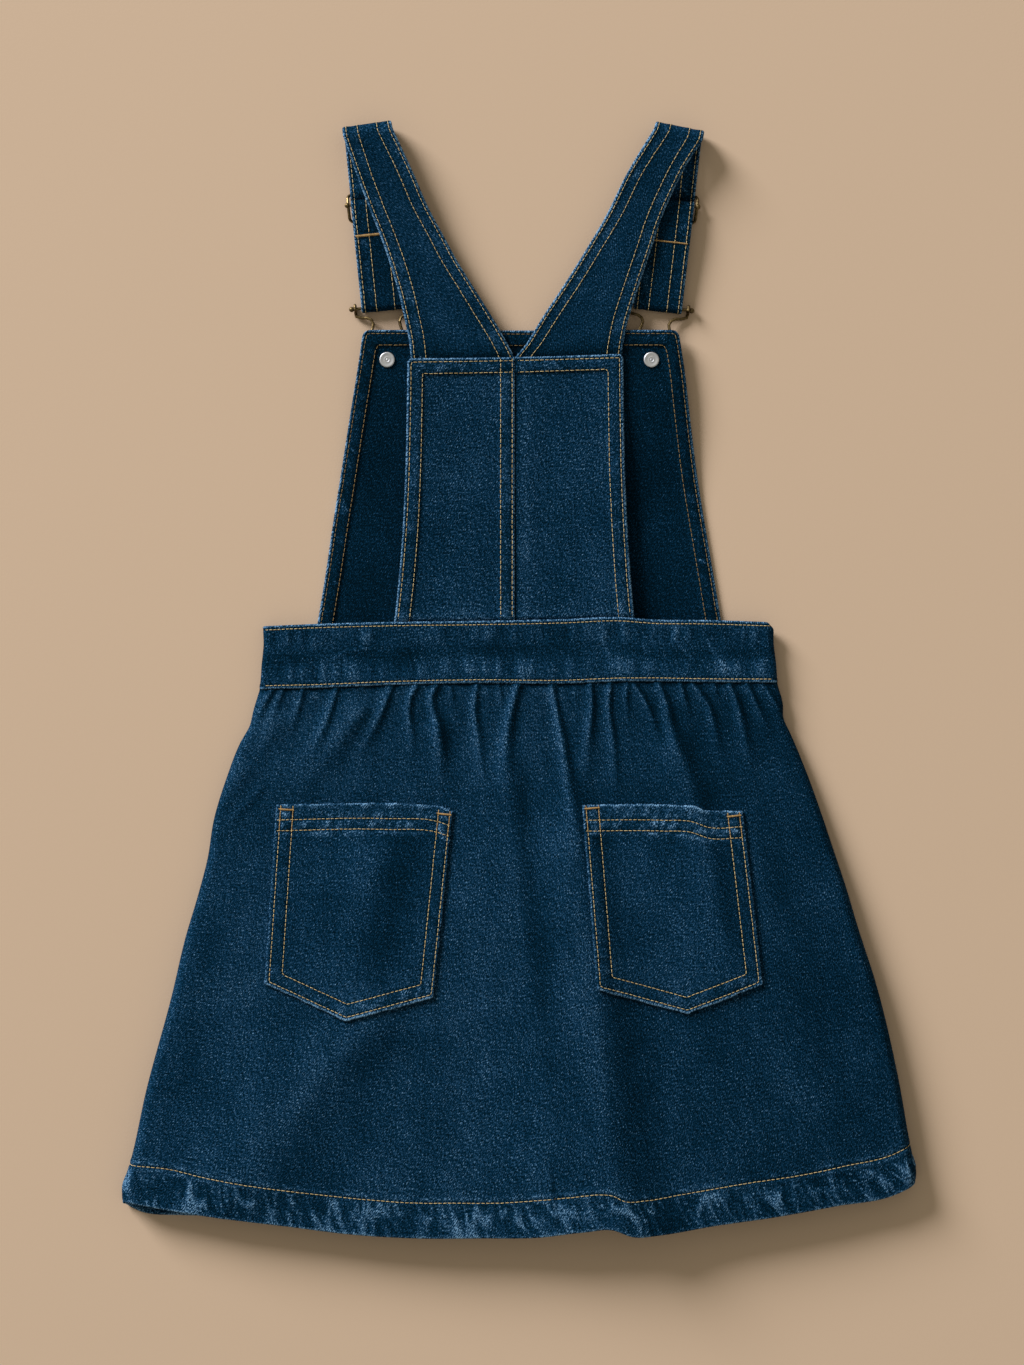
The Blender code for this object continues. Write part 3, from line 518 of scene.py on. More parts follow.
class Thread:
    """Collects the stitches of one piece of cloth and makes one object of them."""

    def __init__(self, name, material, slot):
        self.name, self.material, self.slot = name, material, slot
        self.starts, self.ends, self.ups, self.sizes = [], [], [], []

    def add(self, starts, ends, ups, radius):
        self.starts.append(starts)
        self.ends.append(ends)
        self.ups.append(ups)
        self.sizes.append(np.full(len(starts), radius))

    def run(self, points, ups, pitch=2.9, length=0.82, radius=THREAD_RADIUS):
        """Stitches along a line on the cloth, given with the direction out of the cloth at its points."""
        run = run_of(points)
        count = max(1, round(run[-1] / pitch))
        step = run[-1] / count
        at = (np.arange(count) + 0.5 + dice.uniform(-0.04, 0.04, count)) * step
        half = step * length / 2 * dice.uniform(0.92, 1.06, count)
        aside = dice.normal(0, 0.05, (2, count, 1))
        start, end = at_run(at - half, run, points), at_run(at + half, run, points)
        up = unit_rows(at_run(at, run, ups))
        side = unit_rows(np.cross(end - start, up))
        self.add(start + side * aside[0], end + side * aside[1], up, radius)

    def bar(self, points, ups, width, pitch=0.42, radius=0.27):
        """A dense bar of short stitches across the line."""
        run = run_of(points)
        at = np.arange(0, run[-1], pitch)
        place, up = at_run(at, run, points), at_run(at, run, ups)
        along = np.gradient(place, axis=0)
        wide = width / 2 * dice.uniform(0.85, 1.15, (len(at), 1))
        reach = unit_rows(np.cross(along, up)) * wide + unit_rows(along) * 0.25
        self.add(place - reach + up * 0.15, place + reach + up * 0.15, up, radius)

    def make(self):
        start, end, up = (np.concatenate(x) for x in (self.starts, self.ends, self.ups))
        radius = np.concatenate(self.sizes)[:, None, None, None]
        length = np.linalg.norm(end - start, axis=1, keepdims=True)
        along = unit_rows(end - start)
        side = unit_rows(np.cross(along, up))
        up = np.cross(side, along)
        angle = np.arange(RING) * 2 * math.pi / RING
        centre = start[:, None] + (end - start)[:, None] * STATIONS[None, :, None]
        centre = centre + up[:, None] * (LIFT[None, :, None] * radius[:, :, :, 0])
        around = side[:, None, None] * np.cos(angle)[:, None] + up[:, None, None] * np.sin(angle)[:, None]
        points = centre[:, :, None] + around * GIRTH[None, :, None, None] * radius
        points[..., 2] = np.maximum(points[..., 2], 0.0)
        count, stations = len(start), len(STATIONS)
        twist = angle / (2 * math.pi) + ((length / 0.9) * STATIONS[None])[:, :, None]
        tone = np.broadcast_to(dice.uniform(-1, 1, count)[:, None, None], points.shape[:3])
        i = np.arange(stations - 1)[:, None] * RING
        j, k = np.arange(RING), (np.arange(RING) + 1) % RING
        wall = np.stack([i + RING + j, i + RING + k, i + k, i + j], axis=-1).reshape(-1, 4)
        caps = np.stack([j, (stations - 1) * RING + j[::-1]])
        base = (np.arange(count) * stations * RING)[:, None, None]
        faces = [(wall + base).reshape(-1, 4), (caps + base).reshape(-1, RING)]
        layers = {"twist": twist.ravel(), "tone": tone.ravel()}
        made = mesh_object(self.name, points.reshape(-1, 3), faces, self.material, layers)
        dress(made)
        return made


def tree_of(piece):
    mesh = piece.data
    return BVHTree.FromPolygons([v.co / MM for v in mesh.vertices], [p.vertices for p in mesh.polygons])


def on_cloth(tree, path, above=True, step=0.8):
    """The line over the cloth of a path seen from above, or from below, and the directions out of the cloth."""
    run = run_of(path)
    height, ray = (60, Vector((0, 0, -1))) if above else (-20, Vector((0, 0, 1)))
    points, ups = [], []
    for x, y in at_run(np.linspace(0, run[-1], max(int(run[-1] / step), 2)), run, path):
        hit, normal, _, _ = tree.ray_cast(Vector((x, y, height)), ray)
        if hit is not None:
            points.append(hit)
            ups.append(normal if normal.dot(ray) < 0 else -normal)
    return np.array(points), np.array(ups)


# ---- looks
class Nodes:
    """Makes shader nodes with few words."""

    def __init__(self, name):
        self.material = bpy.data.materials.new(name)
        self.material.use_nodes = True
        self.tree = self.material.node_tree
        self.shader = self.tree.nodes["Principled BSDF"]

    def put(self, value, socket):
        if isinstance(value, bpy.types.NodeSocket):
            self.tree.links.new(value, socket)
        else:
            socket.default_value = value

    def new(self, kind, *inputs, **settings):
        """A node with its settings, and with its inputs in their order or by their names."""
        node = self.tree.nodes.new("ShaderNode" + kind)
        for key, value in settings.items():
            if key.istitle():
                self.put(value, node.inputs[key])
            else:
                setattr(node, key, value)
        for socket, value in zip(node.inputs, inputs):
            self.put(value, socket)
        return node

    def attribute(self, name, output="Fac"):
        return self.new("Attribute", attribute_name=name).outputs[output]

    def place(self):
        return self.new("TexCoord").outputs["Object"]

    def math(self, operation, a, b=0.0, c=0.0, clamp=False):
        return self.new("Math", a, b, c, operation=operation, use_clamp=clamp).outputs[0]

    def swing(self, base, field, weight, clamp=False):
        """The base, moved by the field's distance from a half times the weight."""
        return self.math("MULTIPLY_ADD", self.math("SUBTRACT", field, 0.5), weight, base, clamp)

    def scaled(self, place, factors):
        return self.new("VectorMath", place, factors, operation="MULTIPLY").outputs["Vector"]

    def noise(self, place, scale, detail=2.0, roughness=0.5, distortion=0.0):
        return self.new(
            "TexNoise", place, Scale=scale, Detail=detail, Roughness=roughness, Distortion=distortion
        ).outputs["Fac"]

    def ramp(self, value, *stops):
        node = self.new("ValToRGB", value)
        elements = node.color_ramp.elements
        while len(elements) < len(stops):
            elements.new(0.5)
        for element, (place, colour) in zip(elements, stops):
            element.position = place
            element.color = (*colour, 1)
        return node.outputs[0]

    def bump(self, height, distance, strength):
        return self.new("Bump", Height=height, Distance=distance, Strength=strength).outputs[0]

    def finish(self, **sockets):
        for key, value in sockets.items():
            self.put(value, self.shader.inputs[key.replace("_", " ")])
        return self.material


TWILL_PITCH = 1.3
INDIGO = (
    # tone, colour
    (0.00, (0.0001, 0.0055, 0.0110)),
    (0.20, (0.0003, 0.0108, 0.0238)),
    (0.40, (0.0014, 0.0202, 0.0510)),
    (0.60, (0.0075, 0.0420, 0.1000)),
    (0.80, (0.0400, 0.1100, 0.2150)),
    (1.00, (0.1500, 0.2950, 0.4850)),
)


def denim(name, level=0.0, contrast=1.0):
    """Washed denim. One value runs from the dark valleys, where painted shade darkens it, to the pale worn edges, and a
    ramp colours it.
    """
    n = Nodes(name)
    weave = n.attribute("weave", "Vector")

    def spots(place, across, along, *detail):
        return n.noise(n.scaled(place, (1 / across, 1 / along, 1.0)), 1.0, *detail)

    # the same place with its columns leaning, so that spots lie along the twill
    diagonal = n.new("VectorMath", weave, (1.0, 0.62, 0.0), operation="DOT_PRODUCT").outputs["Value"]
    split = n.new("SeparateXYZ", weave).outputs
    slanted = n.new("CombineXYZ", diagonal, split[1], split[2]).outputs[0]

    speck = spots(slanted, 0.75, 1.35, 1, 0.7)
    grain = spots(slanted, 0.50, 0.9, 0)
    line = n.math("MULTIPLY", diagonal, 2 * math.pi / TWILL_PITCH)
    twill = n.math("SINE", n.math("ADD", line, n.math("MULTIPLY", spots(weave, 7, 7, 1), 5.0)))

    tone = n.swing(0.39 + level, spots(weave, 38, 52, 2), 0.30 * contrast)
    tone = n.swing(tone, spots(weave, 8, 12, 3, 0.6), 0.22 * contrast)
    tone = n.swing(tone, spots(weave, 1.4, 26, 2, 0.6), 0.16 * contrast)
    tone = n.swing(tone, speck, 1.65 * contrast)
    tone = n.swing(tone, grain, 1.1 * contrast)
    tone = n.math("MULTIPLY_ADD", twill, 0.035, tone)
    spread = n.math("MULTIPLY_ADD", twill, 0.15, n.swing(0.8, speck, 1.5))
    tone = n.math("MULTIPLY_ADD", n.math("MULTIPLY", n.attribute("wear"), spread), 0.50, tone)
    # the mesh's painted shade attribute darkens the tone in grooves, hollows and flanks turned from the light
    tone = n.math("MULTIPLY_ADD", n.attribute("painted_shade"), -0.32, tone, clamp=True)
    height = n.math("MULTIPLY_ADD", grain, 0.6, n.math("MULTIPLY", twill, 0.25))
    return n.finish(
        Base_Color=n.ramp(tone, *INDIGO),
        Roughness=n.math("MULTIPLY_ADD", speck, 0.12, 0.80),
        Normal=n.bump(n.math("MULTIPLY_ADD", speck, 0.8, height), 0.00018, 0.6),
        Specular_IOR_Level=0.012,
        Sheen_Weight=0.008,
        Sheen_Roughness=0.5,
        Sheen_Tint=(0.35, 0.60, 0.85, 1),
    )


def thread_look(name, dark, mid, light):
    """Two-ply thread: pale on its plies, and dark between them."""
    n = Nodes(name)
    ply = n.math("SINE", n.math("MULTIPLY", n.attribute("twist"), 4 * math.pi))
    fuzz = n.noise(n.place(), 900.0)
    value = n.math("MULTIPLY_ADD", ply, 0.13, n.math("MULTIPLY_ADD", n.attribute("tone"), 0.16, 0.5))
    colour = n.ramp(n.swing(value, fuzz, 0.7, clamp=True), (0.0, dark), (0.5, mid), (1.0, light))
    normal = n.bump(n.math("MULTIPLY_ADD", fuzz, 0.4, ply), 0.00007, 0.7)
    return n.finish(Base_Color=colour, Roughness=0.62, Normal=normal)


def metal(name, dark, mid, light, roughness, patina=0.5):
    """Cast or drawn metal with random patches of patina, fine grain and scratches."""
    n = Nodes(name)
    place = n.place()
    stain = n.noise(place, 380.0, 4, 0.62, 0.6)
    fine = n.noise(place, 2600.0, 3, 0.6)
    scratch = n.noise(n.scaled(place, (1.0, 0.12, 1.0)), 5200.0)
    value = n.swing(n.swing(stain, fine, 0.5), scratch, 0.25)
    value = n.math("ADD", value, 0.5 - patina, clamp=True)
    return n.finish(
        Base_Color=n.ramp(value, (0.25, dark), (0.5, mid), (0.78, light)),
        Metallic=1.0,
        Roughness=n.math("MULTIPLY_ADD", n.math("SUBTRACT", 0.5, value), 0.35, roughness),
        Normal=n.bump(n.math("MULTIPLY_ADD", fine, 0.5, stain), 0.00006, 0.5),
    )


SKIRT = denim("skirt_denim")
POCKET = denim("pocket_denim", 0.0, 0.95)
BAND = denim("waistband_denim", 0.0, 0.95)
# the front bib's denim is made darker: painted shade, as it lies low under the back bib and the straps
FRONT_BIB_PAINTED_SHADE = denim("front_bib_denim", -0.22, 0.9)
BACK_BIB = denim("back_bib_denim", -0.02, 1.0)
STRAP = denim("strap_denim", -0.06, 0.85)
GOLD = thread_look("gold_thread", (0.28, 0.190, 0.075), (0.66, 0.51, 0.245), (0.86, 0.74, 0.44))
TACK_GOLD = thread_look("bar_tack_thread", (0.16, 0.084, 0.020), (0.34, 0.205, 0.066), (0.52, 0.35, 0.14))
# a darker copy of the gold thread: painted shade on the front bib's stitches
PAINTED_SHADE_GOLD = thread_look("front_bib_thread_painted_shade", (0.12, 0.070, 0.020), (0.27, 0.175, 0.060), (0.44, 0.32, 0.14))
BRASS = metal("antique_brass", (0.035, 0.026, 0.013), (0.13, 0.095, 0.046), (0.30, 0.225, 0.115), 0.50)
BUTTON_BRASS = metal("button_brass", (0.06, 0.04, 0.018), (0.22, 0.15, 0.07), (0.46, 0.33, 0.16), 0.45)
NICKEL = metal("tack_nickel", (0.30, 0.32, 0.355), (0.49, 0.51, 0.56), (0.70, 0.72, 0.77), 0.52, 0.4)


# ---- seams in the cloth
def across_run(grid):
    """Distance over the cloth from its left edge, measured in the last row, for the whole grid."""
    return run_of(grid[-1]) * np.ones(grid.shape[:2])


def cell_edge(count):
    """Distance of each of that many columns from the nearer end of its row, counted in cells."""
    return np.minimum(np.arange(count), np.arange(count)[::-1])[None, :] * CELL


def sewn(x, y, rows, bands=(), seed=0, groove=0.28, puff=0.18):
    """What rows of stitches do to the cloth: its height, the pale wear on it, and the shade in it.

    rows are paths. bands are pairs of their numbers, with the distance between the two, where the cloth puckers.
    """
    height, wear, painted_shade = (np.zeros(np.shape(x)) for _ in range(3))
    found = [near(x, y, path) for path in rows]
    for away, along, _ in found:
        height -= groove * hump(away, 0.75) * (0.8 + 0.2 * noise(along / 3, 0, seed))
        painted_shade += 0.55 * hump(away, 0.8)
    for a, b, gap in bands:
        (da, along, _), (db, _, _) = found[a], found[b]
        inside = ease(1 - (da + db - gap - 0.6) / 1.2)
        over = np.sin(np.pi * unit(da / np.maximum(da + db, 1e-6)))
        lean = along + 0.55 * da
        rope = 0.65 * noise(lean / 3.1, da / 7, seed + 3) + 0.35 * noise(lean / 1.5, da / 4, seed + 4)
        height += inside * over * (puff + 0.34 * rope)
        wear += inside * (0.07 + 0.95 * unit(rope - 0.14)) * (0.35 + 0.65 * over)
        painted_shade += inside * (0.12 + 0.5 * unit(-rope))
    return height, wear, painted_shade


def rubbed(edge, x, y, width=0.85, seed=0):
    """The pale line that wear leaves along an edge, broken here and there."""
    broken = 0.78 + 0.3 * noise(x / 1.7, y / 1.7, seed) + 0.2 * noise(x / 9, y / 9, seed + 1)
    return np.clip(hump(np.maximum(edge - 0.55, 0), width) * broken, 0, 1.2)


def proud(height, cells):
    """How far each place stands above those around it."""
    return height - blurred(height, cells)


# ---- the skirt and the waistband
def tube_columns(places, steps=9):
    """A panel that turns up at both sides: side, angle of its roll or -1 below it, and place across, as arrays."""
    angles = np.linspace(0, math.pi / 2, steps)
    side = np.concatenate([[-1], np.full(steps, -1), np.zeros(len(places)), np.full(steps, 1), [1]])
    angle = np.concatenate([[-1], angles, np.full(len(places), math.pi / 2), angles[::-1], [-1]])
    across = np.concatenate([np.zeros(steps + 1), places, np.ones(steps + 1)])
    return side, angle, across


def across_of(columns, width, radius):
    side, angle, place = columns
    turn = radius / width
    inset = turn * (1 - np.cos(np.maximum(angle, 0)))
    return np.where(side == 0, mix(turn, 1 - turn, place), np.where(side < 0, inset, 1 - inset))


def rolled_down(columns, height):
    foot = SEAM_Z + 0.05
    risen = foot + SEAM_RISE + (height - foot - SEAM_RISE) * np.sin(np.maximum(columns[1], 0))
    return np.where(columns[1] < 0, foot, risen)


def rolled_up(columns, height=0.0):
    turned = (SEAM_Z - SEAM_RISE) * (1 - np.sin(np.maximum(columns[1], 0)))
    return np.where(columns[1] < 0, SEAM_Z - 0.05, turned + height)


LEFT_OF, RIGHT_OF = column_of(SKIRT_SIDES, 1), column_of(SKIRT_SIDES, 2)
WAIST_Y, WAISTBAND_TOP_Y = column_of(WAISTBAND_EDGES, 1), column_of(WAISTBAND_EDGES, 2)
BACK_HEM_Y, FRONT_HEM_Y = column_of(BACK_HEM, 1), column_of(FRONT_HEM, 1)


def skirt_place(hem_y, across, down):
    left_x, left_y = LEFT_OF(down), mix(*SKIRT_LEFT_Y, down)
    right_x, right_y = RIGHT_OF(down), mix(*SKIRT_RIGHT_Y, down)
    waist_x = mix(LEFT_OF(0), RIGHT_OF(0), across)
    waist_y = mix(SKIRT_LEFT_Y[0], SKIRT_RIGHT_Y[0], across)
    hem_x = mix(LEFT_OF(1), RIGHT_OF(1), across)
    hem_line = mix(SKIRT_LEFT_Y[1], SKIRT_RIGHT_Y[1], across)
    bend_waist = WAIST_Y(waist_x) - GAP - 0.1 - waist_y
    bend_hem = hem_y(hem_x) - hem_line
    return mix(left_x, right_x, across), mix(left_y, right_y, across) + mix(bend_waist, bend_hem, down)


# Ridges of the back panel as the photograph shows them: the gathers from left to right, and then the folds.
RIDGES = (
    # height, reach to the left and right of the crest, how far it widens, mm it takes to rise, share left at its end,
    # and the crest's path in the photograph's pixels
    (0.9, 2.2, 1.5, 1.8, 0, 0, ((272, 688), (265, 700), (256, 716))),
    (0.7, 2.0, 1.5, 1.6, 0, 0, ((282, 688), (276, 703), (272, 716))),
    (0.8, 2.2, 1.5, 2.2, 0, 0, ((302, 688), (298, 704), (290, 728))),
    (1.1, 2.5, 1.6, 2.6, 0, 0, ((336, 687), (331, 704), (324, 724), (310, 752))),
    (1.2, 2.5, 1.8, 2.4, 0, 0, ((391, 686), (385, 702), (376, 722), (360, 750))),
    (1.2, 2.2, 1.6, 2.4, 0, 0, ((416, 686), (408, 702), (408, 716), (411, 740), (409, 760))),
    (1.5, 2.4, 2.0, 2.4, 0, 0, ((436, 686), (430, 700), (434, 714), (438, 735), (439, 775))),
    (0.6, 1.8, 1.4, 1.3, 0, 0, ((450, 688), (452, 702))),
    (1.1, 2.2, 1.6, 2.4, 0, 0, ((477, 685), (474, 704), (477, 735), (481, 775))),
    (0.6, 1.8, 1.4, 1.3, 0, 0, ((498, 684), (501, 702))),
    (1.6, 2.6, 2.4, 2.4, 0, 0, ((518, 684), (511, 710), (506, 740), (504, 790))),
    (1.4, 2.4, 1.8, 3.0, 0, 0, ((552, 684), (555, 702), (562, 740), (569, 790), (576, 840))),
    (1.3, 2.2, 1.8, 2.6, 0, 0, ((591, 683), (592, 703), (588, 740), (585, 775))),
    (1.2, 2.2, 1.5, 2.4, 0, 0, ((611, 683), (609, 703), (613, 742), (615, 785))),
    (0.8, 2.0, 1.5, 1.6, 0, 0, ((628, 684), (626, 704), (628, 720))),
    (1.1, 2.2, 1.6, 2.2, 0, 0, ((635, 685), (647, 704), (654, 724), (660, 748))),
    (1.5, 2.4, 2.0, 2.6, 0, 0, ((659, 683), (665, 698), (670, 722), (680, 758))),
    (0.8, 2.0, 1.5, 1.6, 0, 0, ((682, 684), (685, 698), (690, 716))),
    (1.2, 2.2, 1.6, 2.4, 0, 0, ((694, 685), (708, 703), (715, 728), (719, 755))),
    (0.6, 1.8, 1.4, 1.2, 0, 0, ((715, 684), (718, 697))),
    (1.4, 2.4, 2.0, 2.6, 0, 0, ((731, 686), (738, 703), (744, 730), (749, 765))),
    (1.0, 2.2, 1.6, 2.0, 0, 0, ((749, 685), (757, 703), (768, 730))),
    (0.8, 2.0, 1.5, 1.8, 0, 0, ((766, 686), (778, 706), (786, 722))),
    (1.2, 9, 6, 1.4, 12, 0, ((285, 705), (268, 735), (246, 764))),
    (1.0, 8, 6, 1.2, 10, 0, ((252, 758), (233, 785), (214, 818))),
    (0.5, 3, 2.5, 1.2, 12, 0.2, ((268, 780), (236, 814), (211, 846))),
    (1.9, 11, 6, 1.5, 12, 0.1, ((370, 697), (349, 724), (323, 757), (289, 799))),
    (1.5, 12, 5, 1.3, 12, 0, ((437, 712), (441, 755), (446, 805))),
    (1.7, 24, 8, 1.7, 35, 0.6, ((507, 730), (509, 820), (518, 920), (530, 1020), (541, 1095), (548, 1150))),
    (3.2, 16, 9.6, 2.6, 50, 1,
     ((562, 760), (580, 870), (589, 960), (597, 1040), (602, 1110), (612, 1195), (622, 1242))),
    (1.9, 12, 6, 1.6, 18, 0.4, ((668, 722), (690, 787), (703, 850), (715, 920), (731, 975))),
    (1.5, 18, 9, 1.2, 25, 0.3, ((378, 822), (367, 890), (358, 965))),
    (2.4, 17, 13, 2.1, 25, 0.8, ((404, 998), (352, 1040), (306, 1085), (266, 1140), (250, 1170))),
    (0.9, 24, 13, 1.5, 40, 0.6, ((738, 785), (769, 920), (789, 1020), (812, 1110), (832, 1170))),
    (0.8, 16, 9, 1.4, 30, 0.5, ((204, 900), (186, 980), (166, 1070), (152, 1130))),
)  # fmt: skip


def crest_line(starts, path):
    """The crest of a ridge in mm. The gathers, which start at the band, run on past their last point."""
    (ax, ay), (bx, by) = path[-2:]
    ahead = () if starts else ((bx + 0.6 * (bx - ax), by + 0.6 * (by - ay)),)
    return rounded(seen(*path, *ahead), 6.0)


RIDGE_LINES = [(*row[:6], crest_line(row[4], row[6])) for row in RIDGES]


def ridges(x, y):
    """The height of the gathers and folds, the pale wear and painted highlight on their crests, and the painted shade
    in their right flanks.
    """
    height, crest, painted_flank_shade = (np.zeros(np.shape(x)) for _ in range(3))
    for rise, left, right, widen, starts, tail, path in RIDGE_LINES:
        away, along, side = near(x, y, path)
        length = path_length(path)
        share = along / length
        wide = 1 + (widen - 1) * share
        kept = 1 - (1 - tail) * ease((share - 0.15) / 0.85)
        kept = kept * (ease(along / starts) if starts else 1.0) * wide**0.7
        spill = hump(away * ((along <= 0) | (along >= length)), left * wide)
        away = away * side
        t = away / (wide * np.where(away < 0, left, right))
        here = rise * kept * np.exp(-t * t)
        height = height + here
        sharp = unit(3.0 * rise / (left * right))
        tip = 0.75 + 0.7 * np.exp(-along / 5)
        # crest: pale wear on the crest, with painted highlight on its side toward the light
        crest = crest + sharp * tip * unit(kept) * hump(t + 0.15, 0.5) * spill
        # painted shade on the right flank, which faces away from the light
        steep = np.clip(1.4 * rise * kept / (right * wide), 0, 0.75)
        painted_flank_shade = painted_flank_shade + steep * 2.33 * np.clip(t, 0, None) * np.exp(-t * t)
    return height, crest, painted_flank_shade


def rumple(x, y):
    """Small soft unevenness that leans with the panel's flare."""
    flare = x / (1.0 - 0.0016 * y)
    low = 0.7 * noise(flare / 19, y / 75, 5) + 0.5 * noise(flare / 9, y / 42, 6)
    return 0.24 * low + 0.08 * noise(flare / 4.2, y / 17, 7)


def skirt_outside(across, down, x, y):
    height = mix(WAIST_Z, SIDE_Z, ease(down * 1.6))
    height = height + CROWN * ease(down * 2.2) * (1 - (2 * across - 1) ** 2)
    height = height + HEM_RISE * ease((down - 0.55) / 0.45) * hump(across - 0.66, 0.26)
    raised, crest, painted_flank_shade = ridges(x, y)
    return height + raised + rumple(x, y) * ease(down * 12), crest, painted_flank_shade


HEM_STITCH = rounded(seen(
    (126.5, 1166.8), (167, 1170.3), (207, 1179), (247, 1185.8), (314, 1194.6), (368, 1200), (421, 1203.2),
    (448, 1203.0), (500, 1202.6), (535, 1199.8), (568, 1196.5), (603, 1193), (612, 1193.8), (623.7, 1199.7),
    (644, 1199.7), (685, 1193.8), (744, 1184), (802.7, 1175.3), (846.7, 1166.5), (890.7, 1156.9), (912, 1147),
))  # fmt: skip


def hem_look(x, y, from_hem, seed):
    """Puckers between the hem's stitches and its edge, and the ridge above the stitches."""
    away, along, _ = near(x, y, HEM_STITCH)
    below = ease((20.5 - from_hem) / 1.5)
    lean = along + 0.30 * from_hem + 1.6 * noise(along / 9, from_hem / 9, seed + 2)
    vein = 1 - 3.9 * np.abs(noise(lean / 3.9, from_hem / 26, seed))
    vein = unit(vein) * (0.78 + 0.30 * noise(along / 13, from_hem / 11, seed + 3))
    patch = unit(noise(lean / 2.6, from_hem / 9, seed + 1) - 0.1)
    sway = below * np.sin(np.pi * unit(from_hem / HEM_DEPTH)) ** 0.6
    height = -0.3 * hump(away, 0.8) + (0.55 * vein + 0.35 * patch - 0.2) * sway
    ridge = hump(away - 1.9, 1.3) * (1 - below) * (0.7 + 0.6 * noise(along / 3.2, from_hem / 6, seed + 4))
    height = height + 0.3 * ridge
    wear = below * (0.03 + 0.98 * vein + 0.24 * patch) + 0.46 * ridge
    # painted shade in the stitches' groove and in the hollows between the puckers
    painted_shade = 0.5 * hump(away, 0.8) + below * 0.75 * unit(0.4 - vein - patch)
    return height, wear, painted_shade


def skirt_rows(*counts):
    """down at each row: close together at the waist and in the hem."""
    ends = (0, 0.2, 0.915, 0.994)
    runs = [np.linspace(a, b, count, endpoint=False) for a, b, count in zip(ends, ends[1:], counts)]
    return odd(np.concatenate([*runs, [0.994, 0.9963, 0.998, 0.9992, 1.0]]))


def tucked(x, y, z, under_z):
    """The grid with TUCK_ROWS more rows above its first, where the panel goes under the band sewn over it."""
    above = [
        np.stack([x[0], y[0] + TUCK_REACH * up, mix(np.minimum(under_z, z[0]), z[0], keep)], axis=-1)
        for up, keep in ((1.0, 0.0), (0.8, 0.03), (0.55, 0.15), (0.28, 0.40))
    ]
    return np.concatenate([above, np.stack([x, y, z], axis=-1)])


def with_tuck(field):
    """A field of a skirt panel, with its first row repeated for the rows that are tucked in."""
    return np.pad(field, ((TUCK_ROWS, 0), (0, 0)), mode="edge")


def panel(x, y, z, down, under_z):
    """What the skirt's panels share: the grid, distances from the hem and an edge, thickness and weave."""
    grid = tucked(x, y, z, under_z)
    down = with_tuck(np.broadcast_to(down, x.shape))
    from_hem = (1 - down) * SKIRT_LENGTH * ALONG_CLOTH
    edge = least(from_hem, cell_edge(grid.shape[1]), np.arange(grid.shape[0])[:, None] * CELL)
    thickness = mix(DENIM, HEMMED, ease((HEM_DEPTH - from_hem) / 1.0))
    return grid, from_hem, edge, thickness, (across_run(grid), down * SKIRT_LENGTH)


def skirt_back():
    columns = tube_columns(np.linspace(0.004, 0.996, 321))
    down = skirt_rows(52, 80, 34)[:, None]
    across = across_of(columns, RIGHT_OF(down) - LEFT_OF(down), BACK_ROLL)
    x, y = skirt_place(BACK_HEM_Y, across, down)
    y = y * mix(1.0, NEARER, down)
    raw, crest, painted_flank_shade = skirt_outside(across, down, x, y)
    grid, from_hem, edge, thickness, weave = panel(x, y, rolled_down(columns, raw), down, 5.9)
    x, y = grid[..., 0], grid[..., 1]
    height, wear, painted_shade = hem_look(x, y, from_hem, 11)

    stand, crest, painted_flank_shade = (with_tuck(field) for field in (proud(raw, 9), crest, painted_flank_shade))
    crest = crest * (0.75 + 0.5 * noise(x / 1.8, y / 3.4, 14))
    band = WAIST_Y(np.clip(x, -149, 149)) - y
    blister = unit(noise(x / 3.6, band / 5.5, 15) - 0.05) * hump(np.maximum(band, 0), 7.0)
    height = height + 0.5 * blister
    # the crest term adds pale wear and painted highlight
    wear = wear + 0.33 * crest + 0.5 * blister + 0.16 * unit(stand) + rubbed(from_hem, x, y, 0.8, 13)
    # painted shade: in the folds' right flanks, in hollows, in a line under the waistband's edge, and over the right
    # part of the panel, away from the light
    painted_shade = painted_shade + 1.15 * painted_flank_shade + 0.3 * unit(-stand) + 0.9 * hump(band - 0.2, 1.3)
    painted_shade = painted_shade + 0.26 * ease((across[-1] - 0.55) / 0.35)
    return cloth("skirt_back", "skirt_denim", grid, thickness, edge, SKIRT, weave, height, wear, painted_shade)


def front_scale(x, down=1.0):
    """How much nearer the origin the front panel is drawn. Its left end lies on the floor."""
    return mix(1.0, NEARER, down * ease((x + 150.0) / 250.0))


